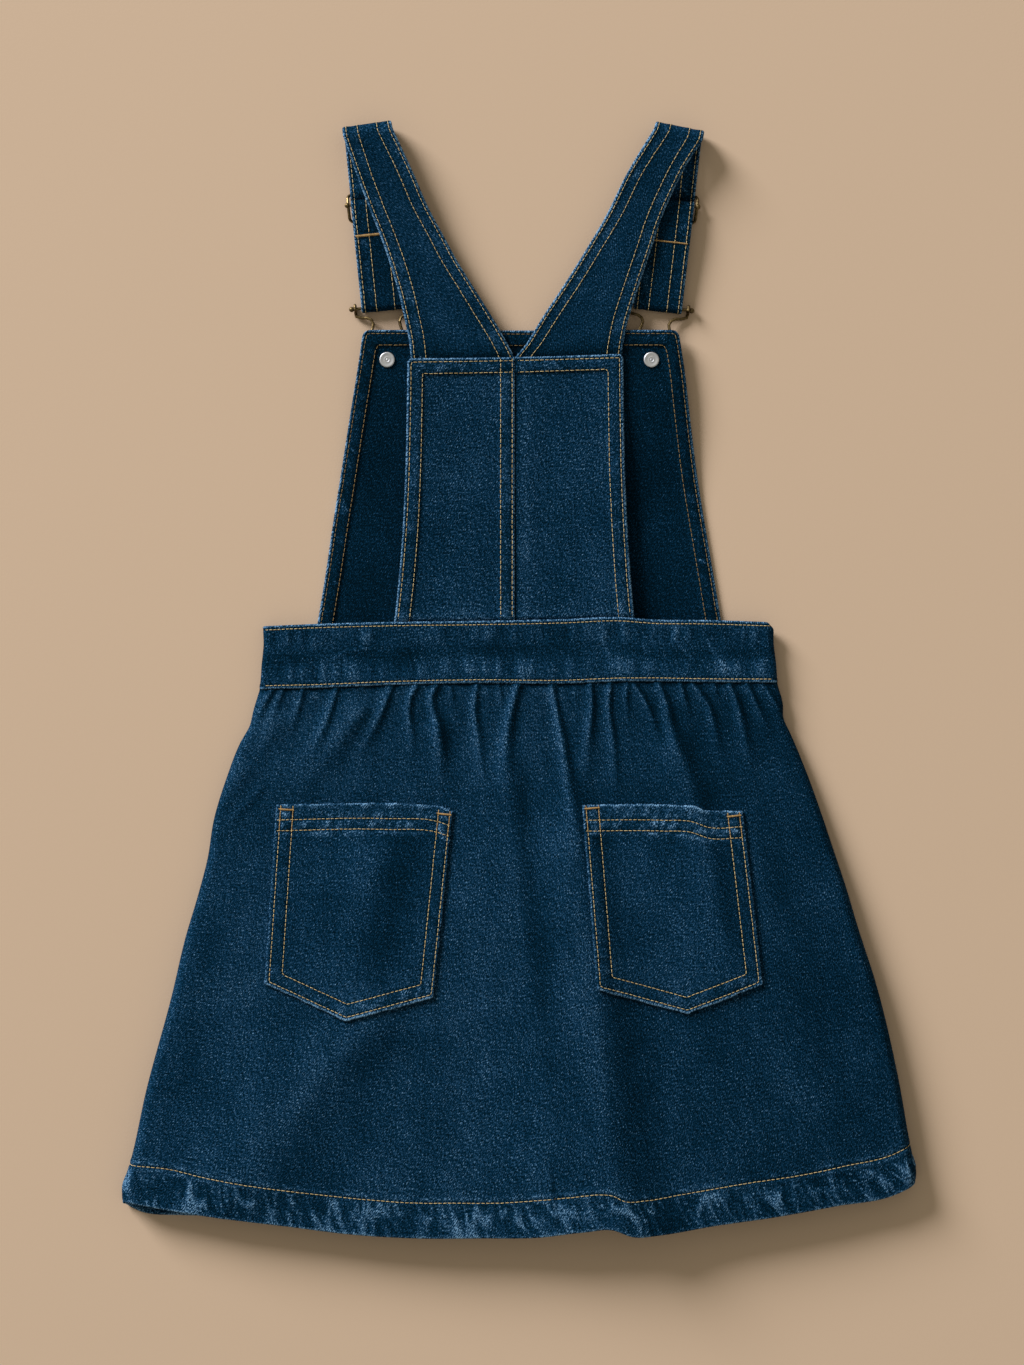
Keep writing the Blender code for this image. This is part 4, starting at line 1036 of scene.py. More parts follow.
def skirt_front():
    columns = tube_columns(np.linspace(0.01, 0.99, 151))
    down = skirt_rows(16, 34, 20)[:, None]
    across = across_of(columns, RIGHT_OF(down) - LEFT_OF(down), FRONT_ROLL)
    x, y = skirt_place(FRONT_HEM_Y, across, down)
    y = y * front_scale(x, down)
    ribs = 0.45 * (1 + noise(across * 46, down * 5, 21)) * np.exp(-((down * 4.5) ** 2))
    soft = 0.18 * (1 + noise(x / 16, y / 70, 22)) * (1 - ease((down - 0.9) / 0.05))
    z = rolled_up(columns, (ribs + soft) * (columns[0] == 0))
    grid, from_hem, edge, thickness, weave = panel(x, y, z, down, 3.4)
    x, y = grid[..., 0], grid[..., 1]
    away = np.abs(from_hem - HEM_DEPTH)
    rope = 0.6 * noise(x / 4.3, from_hem / 26, 23) + 0.4 * noise(x / 2, from_hem / 9, 24)
    below = ease((20.5 - from_hem) / 1.5)
    height = -0.3 * hump(away, 0.9) - below * 0.15 * (1 + rope)
    wear = below * (0.1 + 0.8 * unit(rope)) + rubbed(from_hem, x, y, 1.0, 25)
    # painted shade in the stitches' groove, in the hem puckers' hollows and over the ribs near the waist, under the
    # back panel
    painted_shade = 0.5 * hump(away, 0.8) + below * 0.6 * unit(-rope) + 0.8 * unit(with_tuck(ribs))
    return cloth("skirt_front", "skirt_denim", grid, thickness, edge, SKIRT, weave, height, wear, painted_shade, facing=-1)


WAIST_CREASES = [
    seen(*path)
    for path in (
        ((642, 624), (645, 645), (653, 656)),
        ((676, 641), (690, 655), (697, 664)),
        ((704, 635), (718, 655), (728, 672)),
        ((600, 634), (607, 650), (610, 660)),
        ((330, 660), (345, 651), (372, 648)),
    )
]


def waistband(node, is_back):
    columns = tube_columns(np.linspace(0.006, 0.994, 237 if is_back else 171))
    down = (spaced(WAISTBAND_DEPTH, 0.95, (2.3, 34.4), 0.45) / WAISTBAND_DEPTH)[:, None]
    half = WAIST_HALF - column_of(WAISTBAND_ENDS, 1)(down)
    corner = 3.4 * hump(down * WAISTBAND_DEPTH, 2.6)
    x = mix(-half, half - corner, across_of(columns, 2 * half, FRONT_ROLL))
    top_y = WAISTBAND_TOP_Y(x) if is_back else np.full(x.shape, FRONT_BIB_BOTTOM - 0.1)
    low_y = WAIST_Y(x) + 0.1
    y = mix(top_y, low_y, down)
    seed = 31 if is_back else 41
    lean = x + 3.5 * (down - 0.5) * noise(x / 30, 0, seed)

    def pull(wide, narrow, first, centre, reach):
        coarse = 0.8 * noise(lean / wide, down * 1.3, seed + first)
        return (coarse + 0.5 * noise(lean / narrow, down * 2.2, seed + first + 1)) * hump(down - centre, reach)

    puckers = pull(3.6, 1.9, 1, 0.23, 0.15) + pull(3.8, 2.0, 3, 0.76, 0.17)
    for path in WAIST_CREASES if is_back else ():
        away, along, _ = near(x, y, path)
        puckers = puckers + 0.7 * hump(away, 0.9) * ease(along / 3) * ease((path_length(path) - along) / 3)
    trough = 0.6 * np.sin(math.pi * down) ** 2
    z = rolled_down(columns, WAISTBAND_Z - trough) if is_back else rolled_up(columns)
    grid = np.stack([x, y, z * np.ones_like(x)], axis=-1)
    from_top, from_low = top_y - y, y - low_y
    rows = (np.abs(from_top - 2.3), np.abs(from_low - 2.0))
    height = 0.55 * puckers - 0.3 * (hump(rows[0], 0.75) + hump(rows[1], 0.75))
    if not is_back:
        height = np.minimum(height, 0.0) - 0.05
    wear = 0.70 * unit(puckers - 0.08)
    wear = wear + rubbed(from_top, x, y, 0.7, seed + 5) + 1.3 * rubbed(from_low, x, y, 0.6, seed + 6)
    middle = down - 0.5 + 0.05 * noise(x / 25, 0, seed + 8)
    # painted shade in the puckers' hollows, in the trough along the band's middle and in the stitches' grooves
    painted_shade = 0.45 * unit(-puckers) + 0.6 * hump(middle, 0.12) * (0.75 + 0.4 * noise(x / 16, 0, seed + 7))
    painted_shade = painted_shade + 0.45 * (hump(rows[0], 0.7) + hump(rows[1], 0.7))
    edge, weave = least(from_top, from_low, cell_edge(x.shape[1])), (across_run(grid), -y)
    facing = 1 if is_back else -1
    return cloth(node, "waistband_denim", grid, HEMMED, edge, BAND, weave, height, wear, painted_shade, facing)


# ---- pockets
def inset_line(corners, distances, first):
    """The outline from one of its corners on, each side moved in by its distance. The outline runs clockwise."""
    points = [np.array(c, float) for c in corners]
    count = len(points)
    lines = []
    for i, distance in enumerate(distances, first):
        a, b = points[i % count], points[(i + 1) % count]
        along = (b - a) / np.linalg.norm(b - a)
        inward = np.array([along[1], -along[0]])
        lines.append((a + inward * distance, b + inward * distance))
    made = [lines[0][0]]
    for (a, b), (c, d) in zip(lines, lines[1:]):
        u, v = b - a, d - c
        t = ((c - a)[0] * v[1] - (c - a)[1] * v[0]) / (u[0] * v[1] - u[1] * v[0])
        made.append(a + u * t)
    return made + [lines[-1][1]]


POCKET_INSETS = {
    # rows of stitches, in from the right side, the bottom's two sides and the left side
    "pocket_left": ((1.5, 2.2, 2.2, 2.8), (8.1, 9.2, 9.2, 10.0)),
    "pocket_right": ((2.2, 2.2, 2.2, 2.0), (8.9, 9.2, 9.2, 9.2)),
}


def skirt_height_at(x, y):
    """Height of the back panel's outside under a place seen from above, well below the waist."""
    down = np.clip((-3.0 - y) / SKIRT_LENGTH, 0.02, 0.98)
    for _ in range(6):
        left, right = LEFT_OF(down), RIGHT_OF(down)
        across = (x - left) / (right - left)
        found = skirt_place(BACK_HEM_Y, across, down)[1] * mix(1.0, NEARER, down)
        down = np.clip(down + (found - y) / SKIRT_LENGTH, 0.02, 0.98)
    return skirt_outside(across, down, x, y)[0]


def pocket(node, corners, seed):
    """A patch pocket, and its rows of stitches."""
    low_right = len(corners) - 3
    tip, low_left = corners[-2:]
    top_line, bottom_line = np.array(corners[:low_right]), np.array(corners[:-4:-1])

    def along_line(line, share):
        run = run_of(line)
        return at_run(share * run[-1], run, line)

    width, length = 98.0, 112.0
    u = (spaced(width, 1.15, (2.2, 9.2, width - 2.2, width - 9.2)) / width)[None, :]
    v = (spaced(length, 1.25, (9.3, 15.5, length - 9.2, length - 2.2)) / length)[:, None]
    left = mix(top_line[0], bottom_line[0], v)[:, None]
    right = mix(top_line[-1], bottom_line[-1], v)[:, None]
    uu, vv = u[..., None], v[..., None]
    place = mix(along_line(top_line, u[0])[None], along_line(bottom_line, u[0])[None], vv) + mix(left, right, uu)
    place = place - mix(mix(top_line[0], top_line[-1], uu), mix(bottom_line[0], bottom_line[-1], uu), vv)
    x, y = place[..., 0], place[..., 1]

    edge, along, _ = near(x, y, [*corners, corners[0]])
    edge = np.pad(np.maximum(edge[1:-1, 1:-1], 0.05), 1)
    ragged = 0.22 * noise(along / 1.6, 0, seed) + 0.25 * noise(along / 6, 0, seed + 1)
    outward = place - np.array([x.mean(), y.mean()])
    pull = (ragged * hump(edge, 1.5))[..., None] * outward / np.linalg.norm(outward, axis=-1)[..., None]
    place = place - np.clip(pull, -0.6, 0.6)
    x, y = place[..., 0], place[..., 1]

    rows = [inset_line(corners, insets, low_right - 1) for insets in POCKET_INSETS[node]]
    for down_by in (9.3, 15.5):
        row = top_line - (0, down_by)
        row[0] += (0.3, 0.4)
        rows.append(rounded(row, 4.0))
    height, wear, painted_shade = sewn(x, y, rows, ((0, 1, 7.0), (2, 3, 6.2)), seed + 5)
    from_top, from_bottom = near(x, y, top_line)[0], near(x, y, bottom_line)[0]
    low_part = ease((low_left[1] + 18.0 - y) / 14)
    wear = wear * np.maximum(np.maximum(low_part, 1.6 * ease((19.0 - from_top) / 3)), 0.4)
    arch = np.sin(math.pi * u)
    z = skirt_height_at(x, y) + GAP + 0.1 + POCKET_CLOTH + 0.7 * (hump(from_top, 9.0) * arch)
    lean = along + 0.5 * from_top
    mouth_rope = unit(noise(lean / 2.6, from_top / 9, seed + 7) - 0.12)
    in_mouth = ease((9.0 - from_top) / 1.5)
    height = height + in_mouth * 0.40 * mouth_rope
    kept_edge = 0.45 + 0.4 * ease((4.0 - np.minimum(from_top, from_bottom)) / 2)
    wear = wear + kept_edge * rubbed(edge, x, y, 0.8, seed + 8) + in_mouth * 0.80 * mouth_rope
    for middle, reach, cut, weight in ((12.4, 2.1, 12, 0.85), (7.2, 2.2, 13, 0.60), (17.5, 1.6, 14, 0.50)):
        mark = ease((noise(lean / 2.5, 0, seed + cut) - 0.08) / 0.30) * hump(from_top - middle, reach) * np.sqrt(arch)
        height, wear = height + 0.22 * mark, wear + weight * mark
    from_tip = np.hypot(x - tip[0], y - tip[1])
    wear = wear + rubbed(from_bottom, x, y, 0.9, seed + 10) * (0.3 + 0.6 * hump(from_tip, 22.0))
    for (cx, cy), reach in zip(corners[low_right:], (13.0, 16.0, 13.0)):
        patch = hump(np.hypot(x - cx, y - cy), reach) * unit(0.25 + noise(x / 2.6, y / 3.4, seed + 11))
        wear = wear + 0.55 * patch * ease(edge / 2.0)
    if node == "pocket_left":
        shade = hump(x + 62.9 - 0.272 * (y + 92.8), 14.0) * ease((y + 182.0) / 30)
    else:
        shade = 0.8 * hump(x - 51.0 + 0.10 * (y + 110.0), 6.0) + 0.9 * hump(x - 118.0 + 0.10 * (y + 110.0), 6.0)
        shade = shade * ease((y + 165.0) / 30)
    stand = proud(z, 7)
    # painted shade in the fold bands across the pocket and in its hollows
    painted_shade = painted_shade + 0.50 * shade * ease((from_top - 15.0) / 5) + 0.5 * unit(-stand)
    wear = wear + 0.35 * hump(from_top - 17.0, 0.9) * (0.7 + 0.6 * noise(along / 2, 0, seed + 9)) + 0.25 * unit(stand)
    grid = np.stack([x, y, z], axis=-1)
    return cloth(node, "pocket_denim", grid, POCKET_CLOTH, edge, POCKET, (x, -y), height, wear, painted_shade), rows


# ---- bibs
def bib_down(length):
    return spaced(length, 1.35, (ROW_OUT, ROW_IN))[:, None]


def corner_inset(from_top, radius):
    up = np.clip(radius - from_top, 0.0, radius)
    return radius - np.sqrt(np.maximum(radius**2 - up**2, 0))


def bib_thickness(*from_edges):
    """Thicker where the hems are turned in."""
    return mix(DENIM, HEMMED, ease((ROW_IN + 1.2 - least(*from_edges)) / 1.2))


def stretched(columns, base, margin, width):
    """Columns for a row that is base wide, with all but the margins stretched to the row's own width."""
    share = (columns - margin) / (base - 2 * margin)
    inner = margin + share * (width - 2 * margin)
    return np.where(columns < margin, columns, np.where(columns > base - margin, width - (base - columns), inner))


def front_bib_lift(x, y):
    near_button = np.minimum(1.25 * hump(np.abs(x) - 76.0, 32.0), 1.0)
    return FRONT_BIB_LIFT * ease((y - 95.0) / 80.0) * mix(0.45, 1.0, near_button)


def front_bib():
    """The front bib, and its rows of stitches."""
    left, right = column_of(FRONT_BIB_SIDES, 1), column_of(FRONT_BIB_SIDES, 2)
    length = FRONT_BIB_TOP - FRONT_BIB_BOTTOM + 2.5
    from_top = bib_down(length)
    y = FRONT_BIB_TOP - from_top
    inset = corner_inset(from_top, FRONT_BIB_CORNER)
    low, high = left(y) + inset, right(y) - inset
    base = 205.0
    columns = spaced(base, 1.7, (ROW_OUT, ROW_IN, base - ROW_OUT, base - ROW_IN))
    x = low + stretched(columns, base, BIB_MARGIN, high - low)
    y = y * np.ones_like(x)
    tuck = ease((FRONT_BIB_BOTTOM + 1.0 - y) / 2.5)
    from_side = np.minimum(x - low, high - x)
    thickness = bib_thickness(from_side, from_top)
    ys = np.linspace(FRONT_BIB_BOTTOM, FRONT_BIB_TOP, 30)
    rows = []
    for d in (ROW_OUT, ROW_IN):
        kept, corner = ys[ys <= FRONT_BIB_TOP - d], FRONT_BIB_TOP - d
        up = zip(left([*kept, FRONT_BIB_TOP]) + d, [*kept, corner])
        down = zip(right([*kept, FRONT_BIB_TOP]) - d, [*kept, corner])
        rows.append([*up, *reversed(list(down))])
    height, wear, painted_shade = sewn(x, y, rows, ((0, 1, ROW_IN - ROW_OUT),), 61)
    edge = least(from_side, from_top, length - from_top)
    wear = 1.7 * wear + 1.5 * rubbed(edge, x, y, 0.8, 62)
    grid = np.stack([x, y, front_bib_lift(x, y) * (1 - tuck) + 3.0 * tuck + thickness], axis=-1)
    fields = (grid, thickness, edge, FRONT_BIB_PAINTED_SHADE, (x, -y), height, wear, 0.8 * painted_shade)
    return cloth("bib_front", "front_bib_denim", *fields), rows


def back_bib(node, side, seed):
    """One half of the back bib, on the side -1 for the left or 1 for the right, and its rows of stitches."""
    edge_x = column_of(BACK_BIB_SIDES, 1 if side < 0 else 2)
    under_side, under_seam = column_of(BACK_BIB_SIDES, 3), column_of(BACK_BIB_SIDES, 4)
    top_y = column_of(BACK_BIB_TOP, 1)
    seam = CENTRE_SEAM + (side * 0.12)
    bottom, top = float(WAISTBAND_TOP_Y(seam)), float(top_y(seam))
    length = top - bottom + 3.0
    from_top = bib_down(length)
    share = 1 - from_top / length
    outer = edge_x(mix(bottom - 3, top, share)) - side * corner_inset(from_top, BACK_BIB_CORNER)
    base = 63.0
    marks = (ROW_OUT, ROW_IN) + (tuple(base - lap for lap in LAP_ROWS) if side < 0 else ())
    width = np.abs(seam - outer)
    inward = stretched(spaced(base, 1.1, marks), base, BIB_MARGIN, width)[:, ::-side]
    x = outer - side * inward
    y = mix(WAISTBAND_TOP_Y(x) - 3.0, top_y(x), share * np.ones_like(x))
    under = mix(under_side(y), under_seam(y), np.sin(unit(inward / width) * math.pi / 2))
    tuck = ease((WAISTBAND_TOP_Y(x) + 1.4 - y) / 2.6)
    thickness = bib_thickness(inward, from_top)
    from_seam = width - inward
    if side < 0:
        thickness = mix(thickness, HEMMED, ease((9.4 - from_seam) / 1.0))
    soft = 0.22 * noise(x / 17, y / 46, seed) + 0.10 * noise(x / 6, y / 21, seed + 1)
    soft = soft * ease(np.minimum(inward, from_top) / 12)
    z = under * (1 - tuck) + 5.0 * tuck + thickness + soft
    ys = np.linspace(bottom - 1, top, 30)
    rows, bands = [], [(0, 1, ROW_IN - ROW_OUT)]
    for d in (ROW_OUT, ROW_IN):
        kept = ys[ys <= top_y(edge_x(180)) - d]
        corner = (edge_x(185) - side * d, top_y(edge_x(185)) - d)
        rows.append([*zip(edge_x(kept) - side * d, kept), corner, (seam, top - d)])
    if side < 0:
        rows += [[(seam - lap, top - 0.5), (seam - lap, bottom)] for lap in LAP_ROWS]
        bands.append((2, 3, 6.7))
    height, wear, painted_shade = sewn(x, y, rows, bands, seed + 2)
    edge = np.maximum(least(inward, from_top, from_seam, length - from_top), 0)
    lines = least(inward, from_top, from_seam) if side < 0 else np.minimum(inward, from_top)
    stand = proud(z, 6)
    wear = wear + 1.2 * rubbed(lines, x, y, 0.75, seed + 3) + 0.3 * unit(stand)
    if side > 0:
        # painted shade in a line along the right half's seam edge, under the lap
        painted_shade = painted_shade + 0.7 * hump(from_seam, 1.2)
        wear = wear + 0.18 * hump(from_seam - 6.0, 2.5)
    grid = np.stack([x, y, z], axis=-1)
    return cloth(node, "back_bib_denim", grid, thickness, edge, BACK_BIB, (x, -y), height, wear, painted_shade), rows


# ---- straps
class StrapRun:
    """The straight lower run of a strap. along is measured down the strap from its fold, aside across it."""

    def __init__(self, upper, bar):
        left, right = Vector(upper[-1][:2]), Vector(upper[-1][3:5])
        self.fold_left, self.fold_right = left, right
        along_fold = (right - left).normalized()
        self.fold_outward = np.array((-along_fold.y, along_fold.x, 0))
        self.start = (left + right) / 2
        self.bar = Vector(bar)
        self.length = (self.bar - self.start).length
        self.slider = self.length - SLIDER_UP
        self.down = (self.bar - self.start).normalized()
        self.across = Vector((-self.down.y, self.down.x))

    def point(self, aside, along, z):
        place = self.start + self.down * along + self.across * aside
        return np.array((place.x, place.y, z))


def strap_line(upper, run):
    """Both edges of the middle of the cloth as dense rows: up from the bib, over the fold and round both bars."""
    half = STRAP_WIDTH / 2
    columns = [smooth(range(len(upper)), column) for column in zip(*upper)]

    def given(t):
        return np.array([column(t) for column in columns])

    base = given(0.0)
    ahead = given(0.25) - base
    whole = []
    for back, sink in ((4.2, 2.3), (3.0, 2.3), (1.8, 1.7)):
        sunk = base - ahead / np.linalg.norm(ahead[:2]) * back
        sunk[[2, 5]] = base[[2, 5]] - sink
        whole.append(sunk)
    whole += [given(t) for t in np.arange(0.08, len(upper) - 1, 0.08)]
    rows = [(row[:3], row[3:]) for row in whole]

    radius = (FOLD_TOP_Z - FOLD_LOW_Z) / 2
    for t in np.linspace(0, 1, 25):
        angle = math.pi * (0.5 - t)
        turned_by = float(ease(t))
        shift = run.fold_outward * FOLD_OUT * math.cos(angle)
        z = FOLD_LOW_Z + radius + radius * math.sin(angle)
        left = mix(np.array((*run.fold_left, z)), run.point(-half, 0, z), turned_by)
        right = mix(np.array((*run.fold_right, z)), run.point(half, 0, z), turned_by)
        rows.append((left + shift, right + shift))

    def level(along, z):
        rows.append((run.point(-half, along, z), run.point(half, along, z)))

    def around(along, z, start, end):
        for degrees in np.linspace(start, end, 15):
            a = math.radians(degrees)
            level(along + STRAP_BEND * math.cos(a), z + STRAP_BEND * math.sin(a))

    level(run.slider * 0.35, FOLD_LOW_Z)
    for along, z in THREAD:
        level(run.slider + along, z)
    level(run.length - 20, 0.9)
    around(run.length, HOOK_BAR_Z, -90, 90)
    level(run.length - 14, HOOK_BAR_Z + STRAP_BEND + 0.3)
    for along, _, z in reversed(TAB_PATH):
        level(run.slider + along, z)
    around(run.slider, SLIDER_BAR_Z, 90, 270)
    for along, z, _ in TAB_PATH:
        level(run.slider + along, z)
    return np.array([r[0] for r in rows]), np.array([r[1] for r in rows])


def strap(node, upper, run, seed, tack_lower, tack_width):
    """A strap, with its stitches and the bar tack on its end, which is moved down the strap by tack_lower."""
    left, right = strap_line(upper, run)
    middle = (left + right) / 2
    reach = run_of(middle)
    finish = np.array([0, 0.2, 0.5, 0.85, 1.3])
    along = odd(np.concatenate([finish, np.arange(2, reach[-1] - 1.8, 0.95), reach[-1] - finish[::-1]]))

    def eased(values):
        values = at_run(along, reach, values)
        values[1:-1] = 0.25 * values[:-2] + 0.5 * values[1:-1] + 0.25 * values[2:]
        return values

    left, right = eased(left), eased(right)
    width = np.linalg.norm(right - left, axis=1)[:, None]
    base, margin = STRAP_WIDTH, 10.4
    edges = spaced(base, 0.95, (ROW_OUT, ROW_IN, base - ROW_OUT, base - ROW_IN), 0.45)
    centre = np.linspace(margin, base - margin, 18)[1:-1]
    columns = odd(np.concatenate([edges[edges <= margin], centre, edges[edges >= base - margin]]))
    aside = stretched(columns, base, margin, width)
    t = (aside / width)[..., None]
    grid = left[:, None] * (1 - t) + right[:, None] * t
    s = along[:, None] * np.ones_like(aside)
    from_side = np.minimum(aside, width - aside)
    edge = least(from_side, s, along[-1] - s)

    # painted shade: in the stitches' grooves, in the puckers' hollows, at the strap's base where it dips under, and
    # over the lower run below the fold
    height, painted_shade = np.zeros(aside.shape), np.zeros(aside.shape)
    for row in (ROW_OUT, ROW_IN):
        away = np.abs(from_side - row)
        height -= 0.26 * hump(away, 0.7)
        painted_shade += 0.45 * hump(away, 0.8)
    inside = ease((from_side - ROW_OUT) / 1.0) * ease((ROW_IN - from_side) / 1.0)
    flip = np.where(aside < width / 2, 1, 9)
    lean = s + 0.6 * from_side
    rope = 0.65 * noise(lean / 3.0, flip + from_side / 8, seed) + 0.35 * noise(lean / 1.5, flip, seed + 1)
    broad = noise(aside / 7 + s / 19, s / 15, seed + 2)
    height += inside * (0.12 + 0.22 * rope)
    height += 0.10 * broad * ease((from_side - ROW_IN) / 2)
    wear = inside * (0.10 + 0.65 * unit(rope - 0.08)) + 0.20 * unit(broad)
    wear += 1.35 * rubbed(from_side, aside, s, 0.75, seed + 3)
    painted_shade += inside * 0.4 * unit(-rope)
    painted_shade += 0.5 * hump(s - 5.0, 7.0)
    painted_shade += 0.40 * ease((s - reach[np.argmax(middle[:, 1])]) / 9)
    fields = (grid, STRAP_CLOTH, edge, STRAP, (aside, s), height, wear, painted_shade)
    made, top, bottom, n = shell(node + "_cloth", *fields, centred=True)
    dress(made, node)

    thread = Thread(node + "_stitches", GOLD, "strap_denim")
    sewn_along = range(3, len(along) - 3)
    for face, sign in ((top, 1), (bottom, -1)):
        for row in (ROW_OUT, ROW_IN):
            for place in (np.full(len(along), row), width[:, 0] - row):
                points = [at_run(place[i], aside[i], face[i]) for i in sewn_along]
                ups = [at_run(place[i], aside[i], n[i]) * sign for i in sewn_along]
                thread.run(points, ups, radius=FINE_THREAD)
    across = np.linspace(1.2, base - 1.2, 50)
    tacked = run.point(0, run.slider + TAB - 1.6 + tack_lower, HOOK_BAR_Z + STRAP_BEND + 1.7)
    row = np.argmin(np.linalg.norm(at_run(along, reach, middle) - tacked, axis=1))
    points, ups = at_run(across, aside[row], bottom[row]), -at_run(across, aside[row], n[row])
    if np.mean(ups[:, 2]) <= 0:
        points, ups = at_run(across, aside[row], top[row]), -ups
    tacks = Thread(node + "_bar_tack", TACK_GOLD, "strap_denim")
    tacks.bar(points, ups, tack_width, 0.45)
    tacks.run(points, ups, 2.2, 0.95, 0.30)
    return made, [thread.make(), tacks.make()]


# ---- tacks
def turned(name, profile, centre, material):
    """A turned piece. The profile is (radius, z) in mm, from the top of the axis round to its foot."""
    steps = 72
    angle = np.arange(steps) * 2 * math.pi / steps
    ring = np.array(profile[1:-1], float)
    radius, z = ring[:, :1], ring[:, 1:] * np.ones(steps)
    points = np.stack([centre[0] + radius * np.cos(angle), centre[1] + radius * np.sin(angle), z], axis=-1)
    points = np.concatenate([points.reshape(-1, 3), [[*centre, profile[0][1]], [*centre, profile[-1][1]]]])
    j, k = np.arange(steps), (np.arange(steps) + 1) % steps
    i = np.arange(len(ring) - 1)[:, None] * steps
    walls = np.stack([i + j, i + steps + j, i + steps + k, i + k], axis=-1).reshape(-1, 4)
    top = np.stack([np.full(steps, len(points) - 2), j, k], axis=-1)
    last = (len(ring) - 1) * steps
    foot = np.stack([np.full(steps, len(points) - 1), last + k, last + j], axis=-1)
    return mesh_object(name, points, [walls, top, foot], material)


def tack(node, centre):
    """A tack's head. Its profile is (radius, height over the foot)."""
    foot = FRONT_BIB_LIFT + HEMMED - 1.0 + 0.15
    r = TACK_RADIUS
    profile = (
        (0, 0.80), (0.45, 0.78), (0.75, 0.60), (0.95, 0.58), (1.25, 0.80), (1.5, 0.84), (1.8, 0.74), (2.6, 0.80),
        (3.5, 0.92), (3.9, 0.96), (4.2, 0.88), (r - 0.08, 0.62), (r, 0.35), (r - 0.1, 0.08), (r - 0.4, 0), (0, 0),
    )  # fmt: skip
    made = turned(node + "_head", [(out, foot + up) for out, up in profile], centre, NICKEL)
    dress(made, node)


# ---- the dress
back, front = skirt_back(), skirt_front()
band_back, band_front = waistband("waistband_back", True), waistband("waistband_front", False)
pockets = [
    pocket(name, [(x * NEARER, y * NEARER) for x, y in corners], seed)
    for (name, *corners), seed in zip(POCKETS, (71, 91))
]
bib_front, bib_front_rows = front_bib()
bib_left, bib_left_rows = back_bib("bib_back_left", -1, 111)
bib_right, bib_right_rows = back_bib("bib_back_right", 1, 121)
straps = [
    strap("strap_left", LEFT_STRAP, StrapRun(LEFT_STRAP, HOOK_BARS[0]), 131, 0.0, 1.4),
    strap("strap_right", RIGHT_STRAP, StrapRun(RIGHT_STRAP, HOOK_BARS[1]), 141, 4.0, 0.8),
]
for side, x in zip(("left", "right"), BUTTON_X):
    tack(f"tack_{side}", (x, BUTTON_Y))

for name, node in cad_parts.items():
    for part, look in (("hook", BRASS), ("slider", BRASS), ("button", BUTTON_BRASS), ("tack", NICKEL)):
        if name.startswith(part):
            for holder in node.material_slots:
                holder.material = look


# ---- the stitches on the dress
def sew_rows(thread, tree, rows, above=True, both=False, pitch=2.9, radius=THREAD_RADIUS):
    """Stitches along the rows, on the cloth seen from above or from below, or on both."""
    for path in rows:
        for side in (above, not above)[: 1 + both]:
            points, ups = on_cloth(tree, path, side)
            if len(points) > 3:
                thread.run(points, ups, pitch, radius=radius)


def sew(name, piece, slot, rows, look=GOLD, **ways):
    thread = Thread(name, look, slot)
    sew_rows(thread, tree_of(piece), rows, **ways)
    return thread.make()


def band_rows(top_y):
    xs = np.linspace(-146.5, 146.5, 60)
    return [list(zip(xs, top_y(xs))), list(zip(xs, WAIST_Y(xs) + 2.1))]


hem_stitches = sew("hem_back_stitches", back, "skirt_denim", [HEM_STITCH], pitch=2.75)
xs = np.linspace(-219, 219, 60)
front_hem_row = list(zip(xs, FRONT_HEM_Y(xs) * front_scale(xs) + 21.3))
front_hem_stitches = sew("hem_front_stitches", front, "skirt_denim", [front_hem_row], above=False, pitch=2.75)
rows = band_rows(lambda xs: WAISTBAND_TOP_Y(xs) - 2.3)
band_back_stitches = sew("waistband_back_stitches", band_back, "waistband_denim", rows, pitch=2.4)
rows = band_rows(lambda xs: np.full(len(xs), FRONT_BIB_BOTTOM - 2.4))
band_front_stitches = sew("waistband_front_stitches", band_front, "waistband_denim", rows, above=False, pitch=2.4)

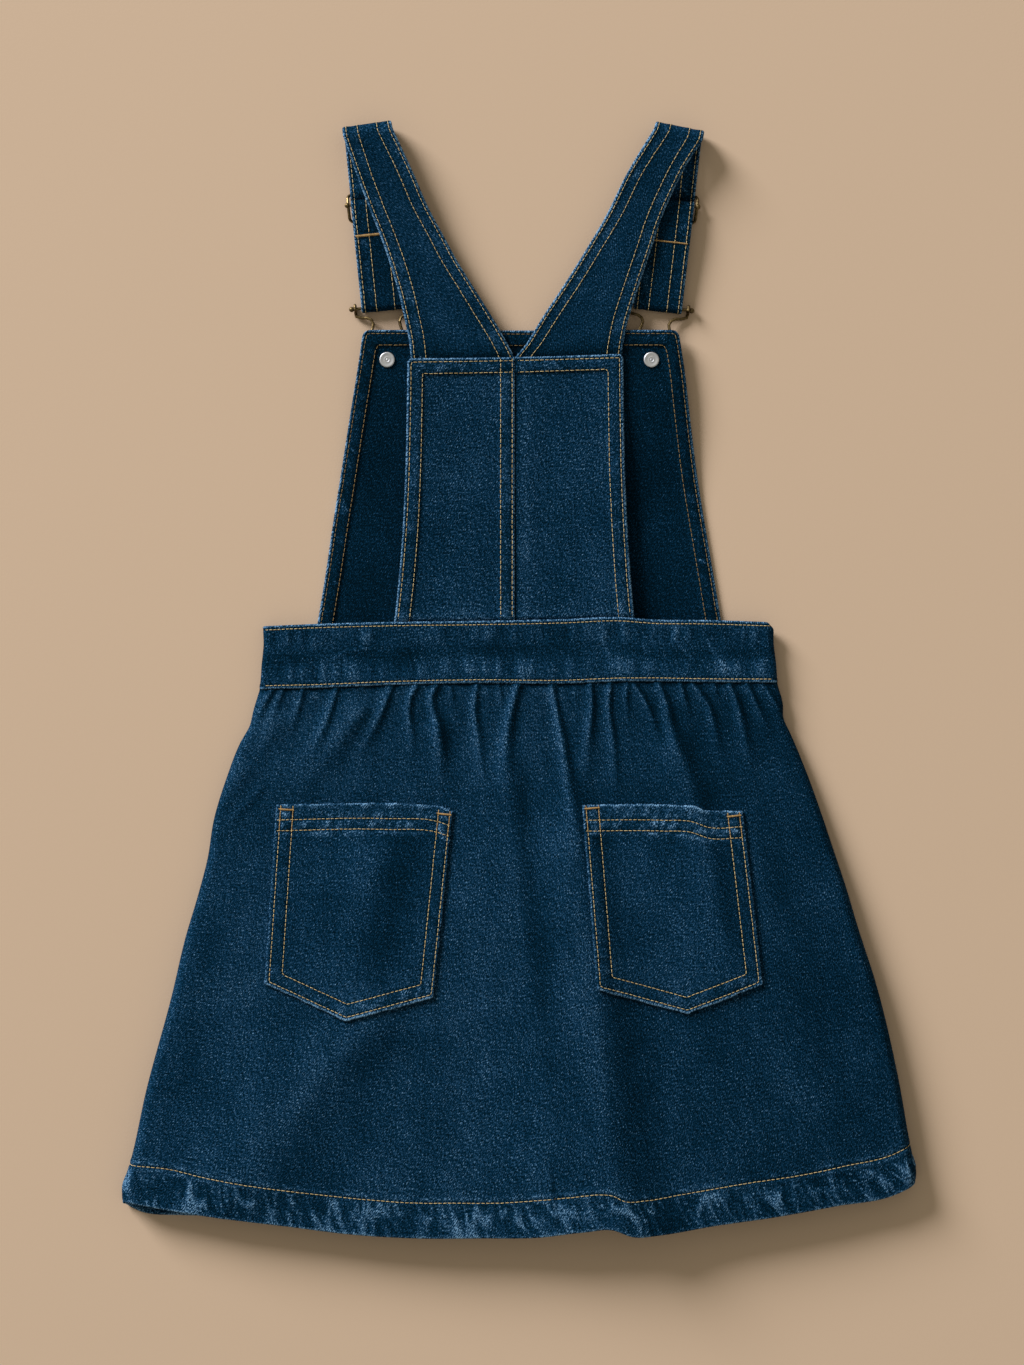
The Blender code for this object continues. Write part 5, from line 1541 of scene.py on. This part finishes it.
for piece, rows in pockets:
    tree = tree_of(piece)
    thread = Thread(piece.name.replace("_cloth", "_stitches"), GOLD, "pocket_denim")
    tacks = Thread(piece.name.replace("_cloth", "_bar_tacks"), TACK_GOLD, "pocket_denim")
    sew_rows(thread, tree, rows, pitch=2.6, radius=0.19)
    for outer, inner in (rows[:2], (rows[0][::-1], rows[1][::-1])):
        a, b = path_point(outer, 2.5), path_point(inner, 2.5)
        lines = [[path_point(path, 0.6), path_point(path, 15.5)] for path in (outer, inner)]
        lines.append([a + (a - b) * 0.10, b + (b - a) * 0.10])
        for line in lines:
            points, ups = on_cloth(tree, line, step=0.3)
            if line is lines[-1]:
                tacks.bar(points, ups, 1.0)
            tacks.run(points, ups, 1.35, 0.94, 0.26)
    thread.make()
    tacks.make()

bib_front_stitches = sew(
    "bib_front_stitches", bib_front, "front_bib_denim", bib_front_rows, PAINTED_SHADE_GOLD, both=True, radius=FINE_THREAD
)
bib_left_stitches = sew("bib_back_left_stitches", bib_left, "back_bib_denim", bib_left_rows, radius=FINE_THREAD)
bib_right_stitches = sew("bib_back_right_stitches", bib_right, "back_bib_denim", bib_right_rows, radius=FINE_THREAD)

# ---- floor, light and camera
n = Nodes("floor")
place = n.place()
FLOOR = n.finish(
    Base_Color=n.ramp(
        n.swing(0.5, n.noise(place, 3.0, 3), 0.25), (0.0, (0.537, 0.403, 0.299)), (1.0, (0.577, 0.438, 0.329))
    ),
    Roughness=0.9,
    Normal=n.bump(n.noise(place, 900.0), 0.0001, 0.3),
)
corners = np.array([(x * FLOOR_HALF, y * FLOOR_HALF, -0.1) for x, y in ((-1, -1), (1, -1), (1, 1), (-1, 1))])
floor = mesh_object("floor", corners, [np.array([[0, 1, 2, 3]])], FLOOR)

scene = bpy.context.scene
key = bpy.data.lights.new("key", "AREA")
key.shape = "DISK"
key.size = 5.2
key.energy = 2400.0
key.color = (1.0, 0.975, 0.95)
lamp = bpy.data.objects.new("key", key)
lamp.location = (-7.84, 7.84, 4.59)
lamp.rotation_mode = "QUATERNION"
lamp.rotation_quaternion = Vector((-7.84, 7.84, 4.59)).to_track_quat("Z", "Y")
scene.collection.objects.link(lamp)
world = bpy.data.worlds.new("room")
world.use_nodes = True
background = world.node_tree.nodes["Background"]
background.inputs["Color"].default_value = (1.0, 0.93, 0.74, 1)
background.inputs["Strength"].default_value = 0.36
scene.world = world
scene.view_settings.view_transform = "Standard"

camera_data = bpy.data.cameras.new("camera")
camera_data.lens = 85.0
camera_data.sensor_width = 36.0
camera = bpy.data.objects.new("camera", camera_data)
camera.location = ((512 - MIDDLE_PX[0]) * SCALE * MM, (MIDDLE_PX[1] - 682.5) * SCALE * MM, 1.872)
scene.collection.objects.link(camera)
scene.camera = camera
